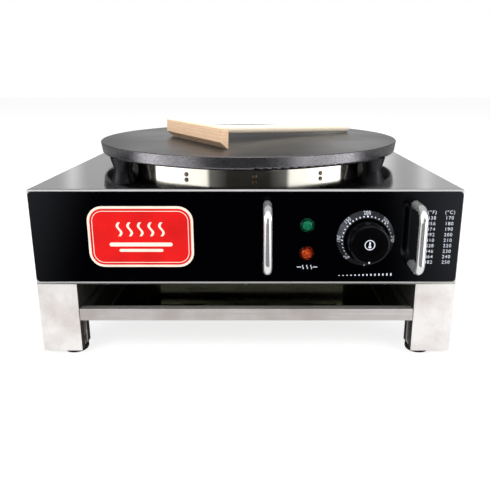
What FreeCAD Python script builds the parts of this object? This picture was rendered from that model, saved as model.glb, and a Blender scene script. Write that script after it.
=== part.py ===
"""Electric crepe maker: a cast round griddle on a folded steel housing, with a pull-out tray.

Millimetres. X is to the right, Y goes from the front to the back and Z is up.
The origin is on the floor, under the middle of the whole machine. The control panel faces -Y.
"""

import FreeCAD, Part
import math
import os

from FreeCAD import Placement, Rotation, Vector

# Housing: one folded steel shell, a back panel and a bottom cover
housing_width = 450.0
housing_depth = 450.0
housing_height = 103.8
sheet = 1.2
bend_radius = 2.4
bottom_lip = 16.0
back_lip = 14.0
back_panel_margin = 4.0

# Legs and rubber feet
leg_width = 43.0
leg_depth = 30.0
leg_height = 78.7
leg_slit = 10.0
leg_bend_radius = 1.6
leg_plate = 2.0
foot_radius = 13.0
foot_drop = 4.5
foot_inset_x = 32.0
foot_rounding = 2.0
foot_recess_gap = 1.0
foot_recess_spare = 0.8

# Griddle plate and its cast feet
plate_radius = 203.0
plate_thickness = 14.6
plate_gap = 15.4
plate_draft = 1.6
plate_rim_rounding = 0.8
plate_edge_rounding = 3.0
plate_foot_inset = 16.0
plate_foot_top_radius = 15.0
plate_foot_bottom_radius = 10.5
plate_foot_hole_depth = 10.8
plate_foot_screw_reach = 9.2
plate_foot_washer_radius = 7.2
plate_foot_angles = {"left": 214.0, "right": 326.0, "rear": 90.0}

# Burner well: the heat ring on the deck, the pan under it and what lies in the pan
ring_foot_gap = 1.0
ring_height = 10.0
ring_sheet = 1.0
pan_sheet = 0.8
pan_depth = 34.0
pan_rim_drop = 1.0
pan_floor_rounding = 6.0
insulation_thickness = 20.0
reflector_gap = 11.2
reflector_dish = 5.0
element_radius = 4.25
element_ring_radii = {"inner": 62.0, "outer": 126.0}
element_gap_degrees = 26.0
element_bend = 12.0
clamp_bar_width = 22.0
clamp_bar_thickness = 3.0
clamp_bar_overhang = 16.0
clamp_back_length = 88.0
clamp_corner = 5.5
stud_radius = 4.0
stud_nut_across = 13.0
stud_nut_height = 6.5
stud_washer_radius = 9.1
stud_depth = 7.3
stud_tail = 1.0
stud_end_gap = 0.5

# Ring screws: three groups of three, one group at the front
ring_screw_front = 273.0
ring_screw_step = 27.0
ring_screw_groups = 3
ring_screw_radius = 1.2
ring_screw_shank = 4.0
ring_screw_head_radius = 2.6
ring_screw_head_height = 1.4
ring_screw_height = 3.2

# Control panel on the front
fascia_thickness = 1.0
fascia_side_margin = 1.6
fascia_top_margin = 2.2
fascia_bottom_margin = 3.4
fascia_corner = 4.0
dial_x = 124.9
dial_depth_down = 51.9
bezel_outer_radius = 30.0
bezel_inner_radius = 23.6
bezel_height = 8.5
bezel_rim = 0.8
bezel_wall = 1.6
knob_base_radius = 22.4
knob_front_radius = 20.6
knob_length = 24.5
knob_gap = 1.2
knob_edge_rounding = 2.2
knob_dish_radius = 11.6
knob_dish_depth = 0.8
knob_wall = 2.2
knob_hub_radius = 6.0
knob_cap_thickness = 1.6
knob_cap_gap = 0.05
pointer_radius = 0.9
pointer_ring = 18.4
pointer_recess = 0.4
pointer_proud = 0.05
lamp_x = 64.0
lamp_down = {"green": 37.7, "amber": 68.2}
lamp_bezel_radius = 7.6
lamp_bezel_height = 2.2
lamp_bezel_straight = 0.8
lamp_bezel_chamfer = 0.8
lamp_bezel_lip = 0.3
lamp_bezel_floor = 0.5
lamp_lens_radius = 5.4
lamp_lens_height = 4.4
lamp_lens_seat = 1.4
lamp_body_radius = 5.9
lamp_body_length = 24.0
lamp_nut_across = 17.0
lamp_nut_height = 3.0
lamp_tag_length = 7.0
lamp_tag_width = 4.0

# Front bar handles
handle_positions = {"left": 22.5, "right": 175.0}
handle_radius = 4.5
handle_reach = 31.0
handle_top_down = 16.0
handle_length = 64.0
handle_bend = 11.0
handle_screw_radius = 2.5
handle_screw_depth = 14.0
handle_washer_radius = 7.0
handle_screw_head = 4.9
handle_screw_spare = 1.0

# Thermostat, cut-out and terminals inside the housing
thermostat_size = (44.0, 26.0, 40.0)
thermostat_corner = 3.0
thermostat_tab_x = 11.0
thermostat_tab_down = 10.0
thermostat_port_x = 11.0
thermostat_port_up = 10.0
shaft_radius = 3.0
shaft_flat = 1.5
shaft_clearance = 0.05
shaft_depth = 12.0
shaft_end_gap = 1.0
shaft_tip_gap = 0.5
shaft_flat_gap = 1.0
bushing_radius = 5.0
bulb_radius = 3.0
bulb_length = 80.0
bulb_y_offset = -94.0
capillary_radius = 1.0
cutout_x = -125.0
cutout_depth = 62.0
cutout_radius = 12.0
cutout_height = 14.0
cutout_flange_height = 8.4
cutout_cap_radius = 9.6
cutout_tab_x = 6.0
terminal_size = (60.0, 24.0, 20.0)
terminal_x = -120.0
terminal_back_gap = 40.0
terminal_ways = 3
terminal_well_radius = 3.5
terminal_well_depth = 11.0
terminal_way_radius = 2.4
terminal_way_height = 6.0

# Cable gland in the back panel
gland_x = -120.0
gland_height = 30.0
gland_thread_radius = 8.0
gland_nut_across = 24.0
gland_nut_height = 6.0
gland_dome_length = 12.0
gland_dome_radius = 10.0
gland_bore_radius = 4.0
gland_locknut_height = 4.0
gland_neck_spare = 4.0
gland_dome_step = 1.0
gland_dome_rounding = 2.0

# Louvres and slots
louvre_length = 52.0
louvre_radius = 6.0
louvre_columns = 4
louvre_rows = 3
louvre_pitch_x = 64.0
louvre_pitch_z = 18.0
louvre_first_x = -64.0
louvre_first_z = 30.0
vent_length = 60.0
vent_width = 6.0
vent_end_flat = 0.01
vent_columns = 3
vent_rows = 4
vent_pitch_x = 90.0
vent_pitch_y = 22.0

# Tray and its rails
tray_top_down = 29.0
tray_bar_height = 13.7
tray_bar_depth = 9.0
tray_side_clearance = 0.8
tray_sheet = 1.0
tray_length = 428.0
tray_rail_clearance = 0.3
tray_bead_x = 157.0
tray_bead_radius = 1.2
tray_bead_end_gap = 4.0
rail_sheet = 1.2
rail_flange = 14.0
rail_height = 12.0
rail_inner_radius = 0.2
rivet_radius = 2.0
rivet_head_radius = 3.2
rivet_head_height = 1.0
rail_stop_clearance = 0.5

# Wooden batter spreader
spreader_length = 168.0
spreader_height = 23.0
spreader_thickness = 9.8
spreader_bevel = 7.4
blade_edge = 0.8
dowel_radius = 5.8
dowel_length = 249.0
dowel_socket = 7.0
dowel_rounding = 0.8
spreader_turn = 30.9
spreader_tip = (-22.0, -139.4)
spreader_clearance = 0.3

# Small parts of the electrics
cold_end_below_pan = 12.0
pin_radius = 2.0
pin_length = 10.0
pin_nut_across = 7.0
pin_nut_height = 3.0
pin_nut_down = 7.0
capillary_run = 14.0
capillary_below_pan = 8.0
capillary_bend = 6.0
capillary_first_bend = 8.4
clip_width = 10.0
clip_sheet = 1.0
clip_wing = 11.0
clip_from_end = 24.0
tab_width = 6.3
tab_length = 8.0
tab_thickness = 0.8

# Fasteners
screw_radius = 2.0
screw_head_radius = 4.0
screw_head_height = 2.2
screw_shank = 8.0
screw_head_shape = ((0.55, 1.0), (0.86, 0.72), (1.0, 0.3))
screw_point = 0.4
lip_screw_x = (-150.0, 0.0, 150.0)
lip_screw_inset = 7.0
leg_bolt_radius = 3.0
leg_bolt_across = 10.0
leg_bolt_head = 4.0
leg_bolt_inset = 9.0
leg_bolt_reach = 9.0
hole_clearance = 0.2
seat_clearance = 0.3
cutter_spare = 1.0

# Places worked out from the sizes above
leg_bottom = foot_drop
housing_bottom = leg_bottom + leg_height
deck_top = housing_bottom + housing_height
shell_bottom = housing_bottom + sheet
half_width = housing_width / 2
handle_front = handle_reach + handle_radius
gland_back = sheet + gland_nut_height + gland_dome_length
gland_neck = gland_locknut_height + gland_neck_spare
front = handle_front - (handle_front + housing_depth + gland_back) / 2
back = front + housing_depth
panel_face = front - fascia_thickness
middle_y = front + housing_depth / 2
middle = Vector(0, middle_y, deck_top)
dial_z = deck_top - dial_depth_down
plate_bottom = deck_top + plate_gap
plate_top = plate_bottom + plate_thickness
plate_foot_ring = plate_radius - plate_foot_inset
ring_radius = plate_foot_ring - plate_foot_top_radius - ring_foot_gap
pan_radius = ring_radius - ring_sheet
pan_top = deck_top + ring_height - pan_rim_drop
pan_floor = deck_top - pan_depth
insulation_bottom = pan_floor + pan_sheet
insulation_top = insulation_bottom + insulation_thickness
reflector_radius = pan_radius - pan_sheet - reflector_gap
clamp_half = element_ring_radii["outer"] + clamp_bar_overhang
element_z = plate_bottom - element_radius
clamp_top = plate_bottom - 2 * element_radius
cold_end_bottom = pan_floor - cold_end_below_pan
tray_top = housing_bottom - tray_top_down
tray_bottom = tray_top - tray_bar_height
rail_top = tray_bottom + rail_sheet
tray_floor = rail_top + tray_rail_clearance
leg_inner = half_width - leg_width
thermostat_front = front + sheet
dowel_height = (spreader_bevel + spreader_height) / 2

up = Vector(0, 0, 1)
back_way = Vector(0, 1, 0)
front_way = Vector(0, -1, 0)
right_way = Vector(1, 0, 0)


def at(x, y, z):
    return Vector(x, y, z)


def block(x0, x1, y0, y1, z0, z1):
    return Part.makeBox(x1 - x0, y1 - y0, z1 - z0, at(x0, y0, z0))


def rod(radius, length, start, direction=up):
    return Part.makeCylinder(radius, length, start, direction)


def cone(radius_a, radius_b, length, start, direction=up):
    return Part.makeCone(radius_a, radius_b, length, start, direction)


def revolved(points, start, direction=up):
    """Turns a closed outline of (radius, height) points about an axis through start."""
    corners = [at(r, 0, h) for r, h in points]
    face = Part.Face(Part.makePolygon(corners + corners[:1]))
    turned = face.revolve(at(0, 0, 0), up, 360)
    turned.Placement = Placement(start, Rotation(up, direction))
    return turned


def prism(points, length, start, direction, across):
    """Pushes a closed outline of (across, up) points along a direction."""
    corners = [start + across * a + up * b for a, b in points]
    face = Part.Face(Part.makePolygon(corners + corners[:1]))
    return face.extrude(direction * length)


def hexagon(across, height, start, direction=up):
    """A hexagonal nut or head, with its middle at start."""
    radius = across / math.sqrt(3)
    corners = []
    for i in range(6):
        turn = math.radians(60 * i)
        corners.append(at(radius * math.cos(turn), radius * math.sin(turn), 0))
    solid = Part.Face(Part.makePolygon(corners + corners[:1])).extrude(up * height)
    solid.Placement = Placement(start, Rotation(up, direction))
    return solid


def ring(outer, inner, height, start, direction=up):
    return rod(outer, height, start, direction).cut(rod(inner, height, start, direction))


def rounded_plate(x0, x1, y0, y1, z0, thickness, corner):
    """A flat plate with round corners, seen from above."""
    solid = block(x0, x1, y0, y1, z0, z0 + thickness)
    upright = [e for e in solid.Edges if abs(e.tangentAt(e.FirstParameter).z) > 0.99]
    return solid.makeFillet(corner, upright)


def edges_where(shape, test):
    """The edges whose two ends and middle all pass a test."""
    found = []
    for edge in shape.Edges:
        halfway = edge.valueAt((edge.FirstParameter + edge.LastParameter) / 2)
        points = [v.Point for v in edge.Vertexes] + [halfway]
        if all(test(p) for p in points):
            found.append(edge)
    return found


def near(a, b):
    return abs(a - b) < 0.01


def polar(radius, degrees, z):
    """A point at a radius and bearing about the middle of the griddle."""
    turn = math.radians(degrees)
    return at(radius * math.cos(turn), middle_y + radius * math.sin(turn), z)


def swept_tube(points, radii, radius):
    """A round bar along straight runs joined by tangent arcs, one arc radius for each inner point."""
    edges = []
    start = points[0]
    for i in range(1, len(points) - 1):
        before = (points[i] - points[i - 1]).normalize()
        after = (points[i + 1] - points[i]).normalize()
        half_turn = before.getAngle(after) / 2
        cut = radii[i - 1] * math.tan(half_turn)
        enter = points[i] - before * cut
        leave = points[i] + after * cut
        inward = (after - before).normalize()
        centre = points[i] + inward * (radii[i - 1] / math.cos(half_turn))
        crown = centre - inward * radii[i - 1]
        if start.distanceToPoint(enter) > 0.001:
            edges.append(Part.LineSegment(start, enter).toShape())
        edges.append(Part.Arc(enter, crown, leave).toShape())
        start = leave
    edges.append(Part.LineSegment(start, points[-1]).toShape())
    path = Part.Wire(edges)
    section = Part.Wire([Part.makeCircle(radius, points[0], points[1] - points[0])])
    return path.makePipeShell([section], True, False)


def pan_screw(head_at, direction, shank, radius=screw_radius, head=screw_head_radius, tall=screw_head_height):
    """A screw with a low round head: head_at is under the head, and the shank points in direction."""
    profile = [(0, -tall)]
    for wide, high in screw_head_shape:
        profile.append((head * wide, -tall * high))
    point = radius * screw_point
    profile += [(head, 0), (radius, 0), (radius, shank - point), (radius - point, shank), (0, shank)]
    return revolved(profile, head_at, direction)


def save(node, shape):
    shape.exportStep("parts/" + node + ".step")


# Housing


def housing_block(x_gap, y_gap, top_gap, radius):
    """A box with the housing's outside sizes less a gap, with rounded front and top bends."""
    left, right = -half_width + x_gap, half_width - x_gap
    near_y, far_y = front + y_gap, back - y_gap
    top = deck_top - top_gap
    solid = block(left, right, near_y, far_y, shell_bottom, top)

    def outer_faces_met(point):
        at_side = near(point.x, left) or near(point.x, right)
        at_end = near(point.y, near_y) or near(point.y, far_y)
        return at_side + at_end + near(point.z, top)

    bends = edges_where(solid, lambda p: outer_faces_met(p) >= 2)
    return solid.makeFillet(radius, bends)


def lip_screw_points():
    """Where the bottom cover is screwed to the lips of the shell: front and back rows."""
    points = []
    for y in (front + lip_screw_inset, back - lip_screw_inset):
        for x in lip_screw_x:
            points.append(at(x, y, housing_bottom))
    return points


def back_screw_points():
    """Where the back panel is screwed to the lips of the shell."""
    points = []
    low = shell_bottom + back_lip / 2
    high = deck_top - back_lip / 2
    side = half_width - back_lip / 2
    for x in (-side, side):
        for z in (low + back_lip, high - back_lip / 2):
            points.append(at(x, back, z))
    points.append(at(0, back, high))
    return points


def leg_corner(side, row):
    """The outer corner of a leg: side is -1 or 1 in X, row is -1 at the front and 1 at the back."""
    return at(side * half_width, front if row < 0 else back, leg_bottom)


def leg_bolt_points(side, row):
    """Two bolts hold each leg's top plate."""
    corner = leg_corner(side, row)
    y = corner.y - row * leg_depth / 2
    x_mid = corner.x - side * leg_width / 2
    spread = leg_width / 2 - leg_bolt_inset - sheet
    return [at(x_mid - spread, y, housing_bottom), at(x_mid + spread, y, housing_bottom)]


def all_leg_bolt_points():
    points = []
    for side in (-1, 1):
        for row in (-1, 1):
            points += leg_bolt_points(side, row)
    return points


def foot_screw_point(angle):
    return polar(plate_foot_ring, angle, deck_top)


def handle_ends():
    """The axes of the four handle ends, on the shell's front."""
    points = []
    for x in handle_positions.values():
        for z in (deck_top - handle_top_down, deck_top - handle_top_down - handle_length):
            points.append(at(x, front, z))
    return points


def housing_shell():
    solid = housing_block(0, 0, 0, bend_radius)
    hollow = housing_block(sheet, sheet, sheet, bend_radius - sheet)
    hollow = hollow.cut(block(-half_width, half_width, front, back, shell_bottom, shell_bottom + sheet))
    cuts = [hollow]
    cuts.append(
        block(
            -half_width + bottom_lip,
            half_width - bottom_lip,
            front + bottom_lip,
            back - bottom_lip,
            shell_bottom - cutter_spare,
            shell_bottom + sheet + cutter_spare,
        )
    )
    cuts.append(
        block(
            -half_width + back_lip,
            half_width - back_lip,
            back - sheet - cutter_spare,
            back + cutter_spare,
            shell_bottom + back_lip,
            deck_top - back_lip,
        )
    )
    cuts.append(rod(pan_radius, 4 * sheet, at(0, middle_y, deck_top - 2 * sheet)))
    cuts.append(rod(bushing_radius + hole_clearance, 4 * sheet, at(dial_x, front - sheet, dial_z), back_way))
    for down in lamp_down.values():
        z = deck_top - down
        cuts.append(rod(lamp_body_radius + hole_clearance, 4 * sheet, at(lamp_x, front - sheet, z), back_way))
    for point in handle_ends():
        start = point - back_way * sheet
        cuts.append(rod(handle_screw_radius + hole_clearance, 4 * sheet, start, back_way))
    for angle in plate_foot_angles.values():
        hole = foot_screw_point(angle) - up * 2 * sheet
        cuts.append(rod(leg_bolt_radius + hole_clearance, 4 * sheet, hole))
    for point in lip_screw_points() + back_screw_points():
        way = up if near(point.z, housing_bottom) else front_way
        cuts.append(rod(screw_radius + hole_clearance, 4 * sheet, point - way * sheet, way))
    for point in all_leg_bolt_points():
        cuts.append(rod(leg_bolt_radius + hole_clearance, 4 * sheet, point))
    for cutter in cuts:
        solid = solid.cut(cutter)
    return solid


def bottom_cover():
    solid = rounded_plate(-half_width, half_width, front, back, housing_bottom, sheet, bend_radius)
    first_x = -vent_pitch_x * (vent_columns - 1) / 2
    for group_y in (middle_y - housing_depth / 4, middle_y + housing_depth / 4):
        for row in range(vent_rows):
            y = group_y + (row - (vent_rows - 1) / 2) * vent_pitch_y
            for column in range(vent_columns):
                x = first_x + column * vent_pitch_x
                slot = rounded_plate(
                    x - vent_length / 2,
                    x + vent_length / 2,
                    y - vent_width / 2,
                    y + vent_width / 2,
                    housing_bottom - cutter_spare,
                    sheet + 2 * cutter_spare,
                    vent_width / 2 - vent_end_flat,
                )
                solid = solid.cut(slot)
    for point in lip_screw_points():
        solid = solid.cut(rod(screw_radius + hole_clearance, 4 * sheet, point - up * sheet))
    for point in all_leg_bolt_points():
        solid = solid.cut(rod(leg_bolt_radius + hole_clearance, 4 * sheet, point - up * sheet))
    return solid


def louvre_points():
    points = []
    for column in range(louvre_columns):
        for row in range(louvre_rows):
            x = louvre_first_x + column * louvre_pitch_x
            z = shell_bottom + louvre_first_z + row * louvre_pitch_z
            points.append(at(x, back + sheet, z))
    return points


def louvre_hood(point):
    """A pressed hood with its mouth facing down, standing out of the back panel's outer face."""
    half = louvre_length / 2
    start = point - right_way * half
    outer = rod(louvre_radius, louvre_length, start, right_way)
    inner = rod(louvre_radius - sheet, louvre_length - 2 * sheet, start + right_way * sheet, right_way)
    quarter = block(
        point.x - half,
        point.x + half,
        point.y,
        point.y + louvre_radius,
        point.z,
        point.z + louvre_radius,
    )
    return outer.common(quarter).cut(inner)


def back_panel():
    margin = back_panel_margin
    solid = block(
        -half_width + margin,
        half_width - margin,
        back,
        back + sheet,
        shell_bottom + margin,
        deck_top - margin,
    )
    for point in louvre_points():
        half = louvre_length / 2 - sheet
        slot = block(
            point.x - half,
            point.x + half,
            back - cutter_spare,
            back + sheet + cutter_spare,
            point.z,
            point.z + louvre_radius - sheet,
        )
        solid = solid.fuse(louvre_hood(point)).cut(slot)
    for point in back_screw_points():
        start = point - back_way * sheet
        solid = solid.cut(rod(screw_radius + hole_clearance, 4 * sheet, start, back_way))
    gland_hole = gland_axis_point(back - sheet)
    solid = solid.cut(rod(gland_thread_radius + hole_clearance, 4 * sheet, gland_hole, back_way))
    return solid.removeSplitter()


def lip_screws():
    return Part.makeCompound([pan_screw(p, up, screw_shank) for p in lip_screw_points()])


def back_screws():
    seats = [point + back_way * sheet for point in back_screw_points()]
    return Part.makeCompound([pan_screw(seat, front_way, screw_shank) for seat in seats])


# Legs, feet and rails


def leg(side, row):
    """A folded open-seam post: its slit faces inward, and plates close its two ends."""
    x_out = side * half_width
    x_in = side * leg_inner
    y_out = front if row < 0 else back
    y_in = y_out - row * leg_depth
    x0, x1 = min(x_out, x_in), max(x_out, x_in)
    y0, y1 = min(y_out, y_in), max(y_out, y_in)
    solid = rounded_plate(x0, x1, y0, y1, leg_bottom, leg_height, leg_bend_radius)
    hollow = rounded_plate(
        x0 + sheet,
        x1 - sheet,
        y0 + sheet,
        y1 - sheet,
        leg_bottom + leg_plate,
        leg_height - 2 * leg_plate,
        leg_bend_radius - sheet,
    )
    y_mid = (y0 + y1) / 2
    slit = block(
        x_in - 2 * sheet,
        x_in + 2 * sheet,
        y_mid - leg_slit / 2,
        y_mid + leg_slit / 2,
        leg_bottom + leg_plate,
        housing_bottom - leg_plate,
    )
    solid = solid.cut(hollow).cut(slit)
    for point in leg_bolt_points(side, row):
        solid = solid.cut(rod(leg_bolt_radius + hole_clearance, 4 * leg_plate, point - up * 2 * leg_plate))
    foot = foot_point(side, row)
    solid = solid.cut(rod(screw_radius + hole_clearance, 3 * leg_plate, foot))
    screw_y = rail_rivet_y(row)
    hole = at(x_in - side * sheet, screw_y, rail_top + rail_height / 2)
    return solid.cut(rod(rivet_radius + hole_clearance, 3 * sheet, hole, right_way * side))


def leg_bolts():
    """Hexagon bolts through each leg's top plate, the bottom cover and the shell's lip, with nuts inside."""
    solids = []
    for point in all_leg_bolt_points():
        under = point - up * leg_plate
        bolt = hexagon(leg_bolt_across, leg_bolt_head, under - up * leg_bolt_head)
        bolt = bolt.fuse(rod(leg_bolt_radius, leg_bolt_reach + leg_plate, under))
        solids.append(bolt)
        nut_at = point + up * 2 * sheet
        nut = hexagon(leg_bolt_across, leg_bolt_head, nut_at)
        solids.append(nut.cut(rod(leg_bolt_radius, leg_bolt_head, nut_at)))
    return Part.makeCompound(solids)


def foot_point(side, row):
    corner = leg_corner(side, row)
    return at(side * (half_width - foot_inset_x), corner.y - row * leg_depth / 2, leg_bottom)


def rubber_foot(side, row):
    """A round rubber foot with a rolled lower edge, and a recess for its screw's head."""
    rounding = foot_rounding
    rolled = rounding * (1 - math.cos(math.pi / 4))
    recess = screw_head_radius + foot_recess_gap
    depth = screw_head_height + foot_recess_spare
    profile = [
        (screw_radius + hole_clearance, depth),
        (recess, depth),
        (recess, 0),
        (foot_radius - rounding, 0),
        (foot_radius - rolled, rolled),
        (foot_radius, rounding),
        (foot_radius, foot_drop),
        (screw_radius + hole_clearance, foot_drop),
    ]
    return revolved(profile, foot_point(side, row) - up * foot_drop)


def foot_screws():
    solids = []
    for side in (-1, 1):
        for row in (-1, 1):
            seat = foot_point(side, row) - up * (foot_drop - screw_head_height - foot_recess_spare)
            solids.append(pan_screw(seat, up, screw_shank))
    return Part.makeCompound(solids)


def rail_rivet_y(row):
    """The rails are held to the lip behind the slit at the front, and before it at the back."""
    y_out = front if row < 0 else back
    return y_out - row * (leg_depth / 2 + leg_slit / 2 + (leg_depth - leg_slit) / 4)


def rail_ends():
    start = front + tray_bar_depth + rail_stop_clearance
    return start, back - leg_slit


def tray_rail(side):
    """An angle from the front leg to the back leg: the tray slides on its inward flange."""
    start, end = rail_ends()
    x_out = side * leg_inner
    x_wall = x_out - side * rail_sheet
    x_in = x_out - side * rail_flange
    flange = block(min(x_out, x_in), max(x_out, x_in), start, end, tray_bottom, rail_top)
    wall = block(min(x_out, x_wall), max(x_out, x_wall), start, end, tray_bottom, rail_top + rail_height)
    solid = flange.fuse(wall).removeSplitter()
    inner = edges_where(solid, lambda p: near(p.x, x_wall) and near(p.z, rail_top))
    solid = solid.makeFillet(rail_inner_radius, inner)
    for row in (-1, 1):
        hole = at(x_out - side * 2 * rail_sheet, rail_rivet_y(row), rail_top + rail_height / 2)
        solid = solid.cut(rod(rivet_radius + hole_clearance, 4 * rail_sheet, hole, right_way * side))
    return solid


def rail_rivets():
    """Rivets through the rails and the lips of the legs, flush on the tray's side."""
    solids = []
    for side in (-1, 1):
        for row in (-1, 1):
            x = side * (leg_inner - rail_sheet)
            seat = at(x, rail_rivet_y(row), rail_top + rail_height / 2)
            shank = rod(rivet_radius, rail_sheet + sheet + rivet_head_height, seat, right_way * side)
            tail = at(side * (leg_inner + sheet), seat.y, seat.z)
            solids.append(shank.fuse(rod(rivet_head_radius, rivet_head_height, tail, right_way * side)))
    return Part.makeCompound(solids)


# Tray


def tray_front():
    """The tray's front: a channel folded from one strip, open to the back."""
    half = leg_inner - tray_side_clearance
    solid = block(-half, half, front, front + tray_bar_depth, tray_bottom, tray_top)
    heights = (tray_top, tray_bottom)
    face_edges = edges_where(solid, lambda p: near(p.y, front) and any(near(p.z, z) for z in heights))
    solid = solid.makeFillet(tray_sheet, face_edges)
    hollow = block(
        -half + tray_sheet,
        half - tray_sheet,
        front + tray_sheet,
        front + tray_bar_depth,
        tray_bottom + tray_sheet,
        tray_top - tray_sheet,
    )
    return solid.cut(hollow)


def tray_pan():
    """A shallow pan with one pressed bead along each side of its floor."""
    half = leg_inner - rail_sheet - tray_side_clearance
    y0 = front + tray_sheet
    y1 = front + tray_length
    top = tray_top - tray_sheet
    solid = block(-half, half, y0, y1, tray_floor, top)
    inside = half - tray_sheet
    solid = solid.cut(block(-inside, inside, y0 + tray_sheet, y1 - tray_sheet, tray_floor + tray_sheet, top))
    for side in (-1, 1):
        start = at(side * tray_bead_x, y0 + tray_bead_end_gap, tray_floor + tray_sheet)
        bead = rod(tray_bead_radius, y1 - y0 - 2 * tray_bead_end_gap, start, back_way)
        bead = bead.common(
            block(
                start.x - 2 * tray_bead_radius,
                start.x + 2 * tray_bead_radius,
                y0,
                y1,
                tray_floor + tray_sheet,
                top,
            )
        )
        solid = solid.fuse(bead)
    return solid.removeSplitter()


# Griddle plate


def griddle_plate():
    """A cast disc with draft on its side, a crisp top rim and a rolled lower edge."""
    radius = plate_radius
    low = plate_radius - plate_draft
    rim = plate_rim_rounding
    profile = [at(0, 0, 0), at(low - plate_edge_rounding, 0, 0)]
    edges = [Part.LineSegment(profile[0], profile[1]).toShape()]
    corner_end = at(low, 0, plate_edge_rounding)
    inset = plate_edge_rounding * (1 - math.cos(math.pi / 4))
    corner_mid = at(low - inset, 0, inset)
    edges.append(Part.Arc(profile[1], corner_mid, corner_end).toShape())
    side_top = at(radius, 0, plate_thickness - rim)
    edges.append(Part.LineSegment(corner_end, side_top).toShape())
    rim_end = at(radius - rim, 0, plate_thickness)
    edges.append(Part.LineSegment(side_top, rim_end).toShape())
    top_middle = at(0, 0, plate_thickness)
    edges.append(Part.LineSegment(rim_end, top_middle).toShape())
    edges.append(Part.LineSegment(top_middle, profile[0]).toShape())
    solid = Part.Face(Part.Wire(edges)).revolve(at(0, 0, 0), up, 360)
    solid.Placement = Placement(at(0, middle_y, plate_bottom), Rotation())
    return solid.cut(rod(stud_radius, stud_depth, at(0, middle_y, plate_bottom)))


def plate_foot(angle):
    """A conical cast foot from the underside of the plate to the deck, with a blind screw hole."""
    base = foot_screw_point(angle)
    solid = cone(plate_foot_bottom_radius, plate_foot_top_radius, plate_gap, base)
    return solid.cut(rod(leg_bolt_radius, plate_foot_hole_depth, base))


def plate_foot_screws():
    """Screws from under the deck into the cast feet, with broad washers."""
    solids = []
    for angle in plate_foot_angles.values():
        seat = foot_screw_point(angle) - up * sheet
        washer = ring(plate_foot_washer_radius, leg_bolt_radius + hole_clearance, sheet, seat - up * sheet)
        head = hexagon(leg_bolt_across, leg_bolt_head, seat - up * (sheet + leg_bolt_head))
        shank = rod(leg_bolt_radius, 2 * sheet + plate_foot_screw_reach, seat - up * sheet)
        solids += [washer, head.fuse(shank)]
    return Part.makeCompound(solids)


# Burner well


def ring_screw_angles():
    angles = []
    for group in range(ring_screw_groups):
        for place in (-1, 0, 1):
            angles.append(ring_screw_front + group * 360 / ring_screw_groups + place * ring_screw_step)
    return angles


def cut_ring_screw_holes(solid):
    for angle in ring_screw_angles():
        start = polar(ring_radius - 4 * ring_sheet, angle, deck_top + ring_screw_height)
        outward = (polar(1, angle, 0) - polar(0, angle, 0)).normalize()
        solid = solid.cut(rod(ring_screw_radius + hole_clearance, 6 * ring_sheet, start, outward))
    return solid


def heat_ring():
    solid = ring(ring_radius, pan_radius, ring_height, middle)
    return cut_ring_screw_holes(solid)


def heater_pan():
    """A spun pan hung in the deck's round opening; its wall is screwed to the heat ring."""
    outer = pan_radius
    inner = outer - pan_sheet
    floor = pan_floor
    rounding = pan_floor_rounding
    slope = rounding * (1 - math.cos(math.pi / 4))
    profile = [
        (0, floor),
        (outer - rounding, floor),
        (outer - slope, floor + slope),
        (outer, floor + rounding),
        (outer, pan_top),
        (inner, pan_top),
        (inner, floor + rounding),
        (inner - slope, floor + slope + pan_sheet),
        (inner - rounding, floor + pan_sheet),
        (0, floor + pan_sheet),
    ]
    solid = revolved(profile, at(0, middle_y, 0))
    solid = cut_ring_screw_holes(solid)
    return cut_well_holes(solid, floor, floor + pan_sheet)


def ring_screws():
    solids = []
    for angle in ring_screw_angles():
        seat = polar(ring_radius, angle, deck_top + ring_screw_height)
        inward = (polar(0, angle, 0) - polar(1, angle, 0)).normalize()
        head = ring_screw_head_radius
        solids.append(
            pan_screw(seat, inward, ring_screw_shank, ring_screw_radius, head, ring_screw_head_height)
        )
    return Part.makeCompound(solids)


def element_end(name, way):
    """Where a heating loop ends beside the gap at its back, and the way it runs on; way is 1 or -1."""
    radius = element_ring_radii[name]
    half = math.radians(element_gap_degrees) / 2 * element_ring_radii["outer"] / radius
    turn = math.pi / 2 + way * half
    point = at(radius * math.cos(turn), middle_y + radius * math.sin(turn), element_z)
    run_on = at(math.sin(turn), -math.cos(turn), 0) * way
    return point, run_on


def cold_end_points():
    points = []
    for name in element_ring_radii:
        for way in (1, -1):
            point, run_on = element_end(name, way)
            points.append(point + run_on * element_bend)
    return points


def element(name):
    """One tubular heating loop under the plate; both ends bend down and drop through the pan."""
    centre = at(0, middle_y, element_z)
    crown = centre - back_way * element_ring_radii[name]
    ends = []
    for way in (1, -1):
        point, run_on = element_end(name, way)
        hub = point - up * element_bend
        low = hub + run_on * element_bend
        mid = hub + (up + run_on).normalize() * element_bend
        bottom = at(low.x, low.y, cold_end_bottom)
        ends.append((bottom, low, mid, point))
    first, last = ends
    edges = [
        Part.LineSegment(first[0], first[1]).toShape(),
        Part.Arc(first[1], first[2], first[3]).toShape(),
        Part.Arc(first[3], crown, last[3]).toShape(),
        Part.Arc(last[3], last[2], last[1]).toShape(),
        Part.LineSegment(last[1], last[0]).toShape(),
    ]
    section = Part.Wire([Part.makeCircle(element_radius, first[0], up)])
    return Part.Wire(edges).makePipeShell([section], True, False)


def element_terminals():
    """Threaded pins with nuts on the cold ends of the heating loops."""
    solids = []
    for point in cold_end_points():
        top = at(point.x, point.y, cold_end_bottom)
        pin = rod(pin_radius, pin_length, top - up * pin_length)
        nut = hexagon(pin_nut_across, pin_nut_height, top - up * pin_nut_down)
        solids.append(pin.fuse(nut))
    return Part.makeCompound(solids)


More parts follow.
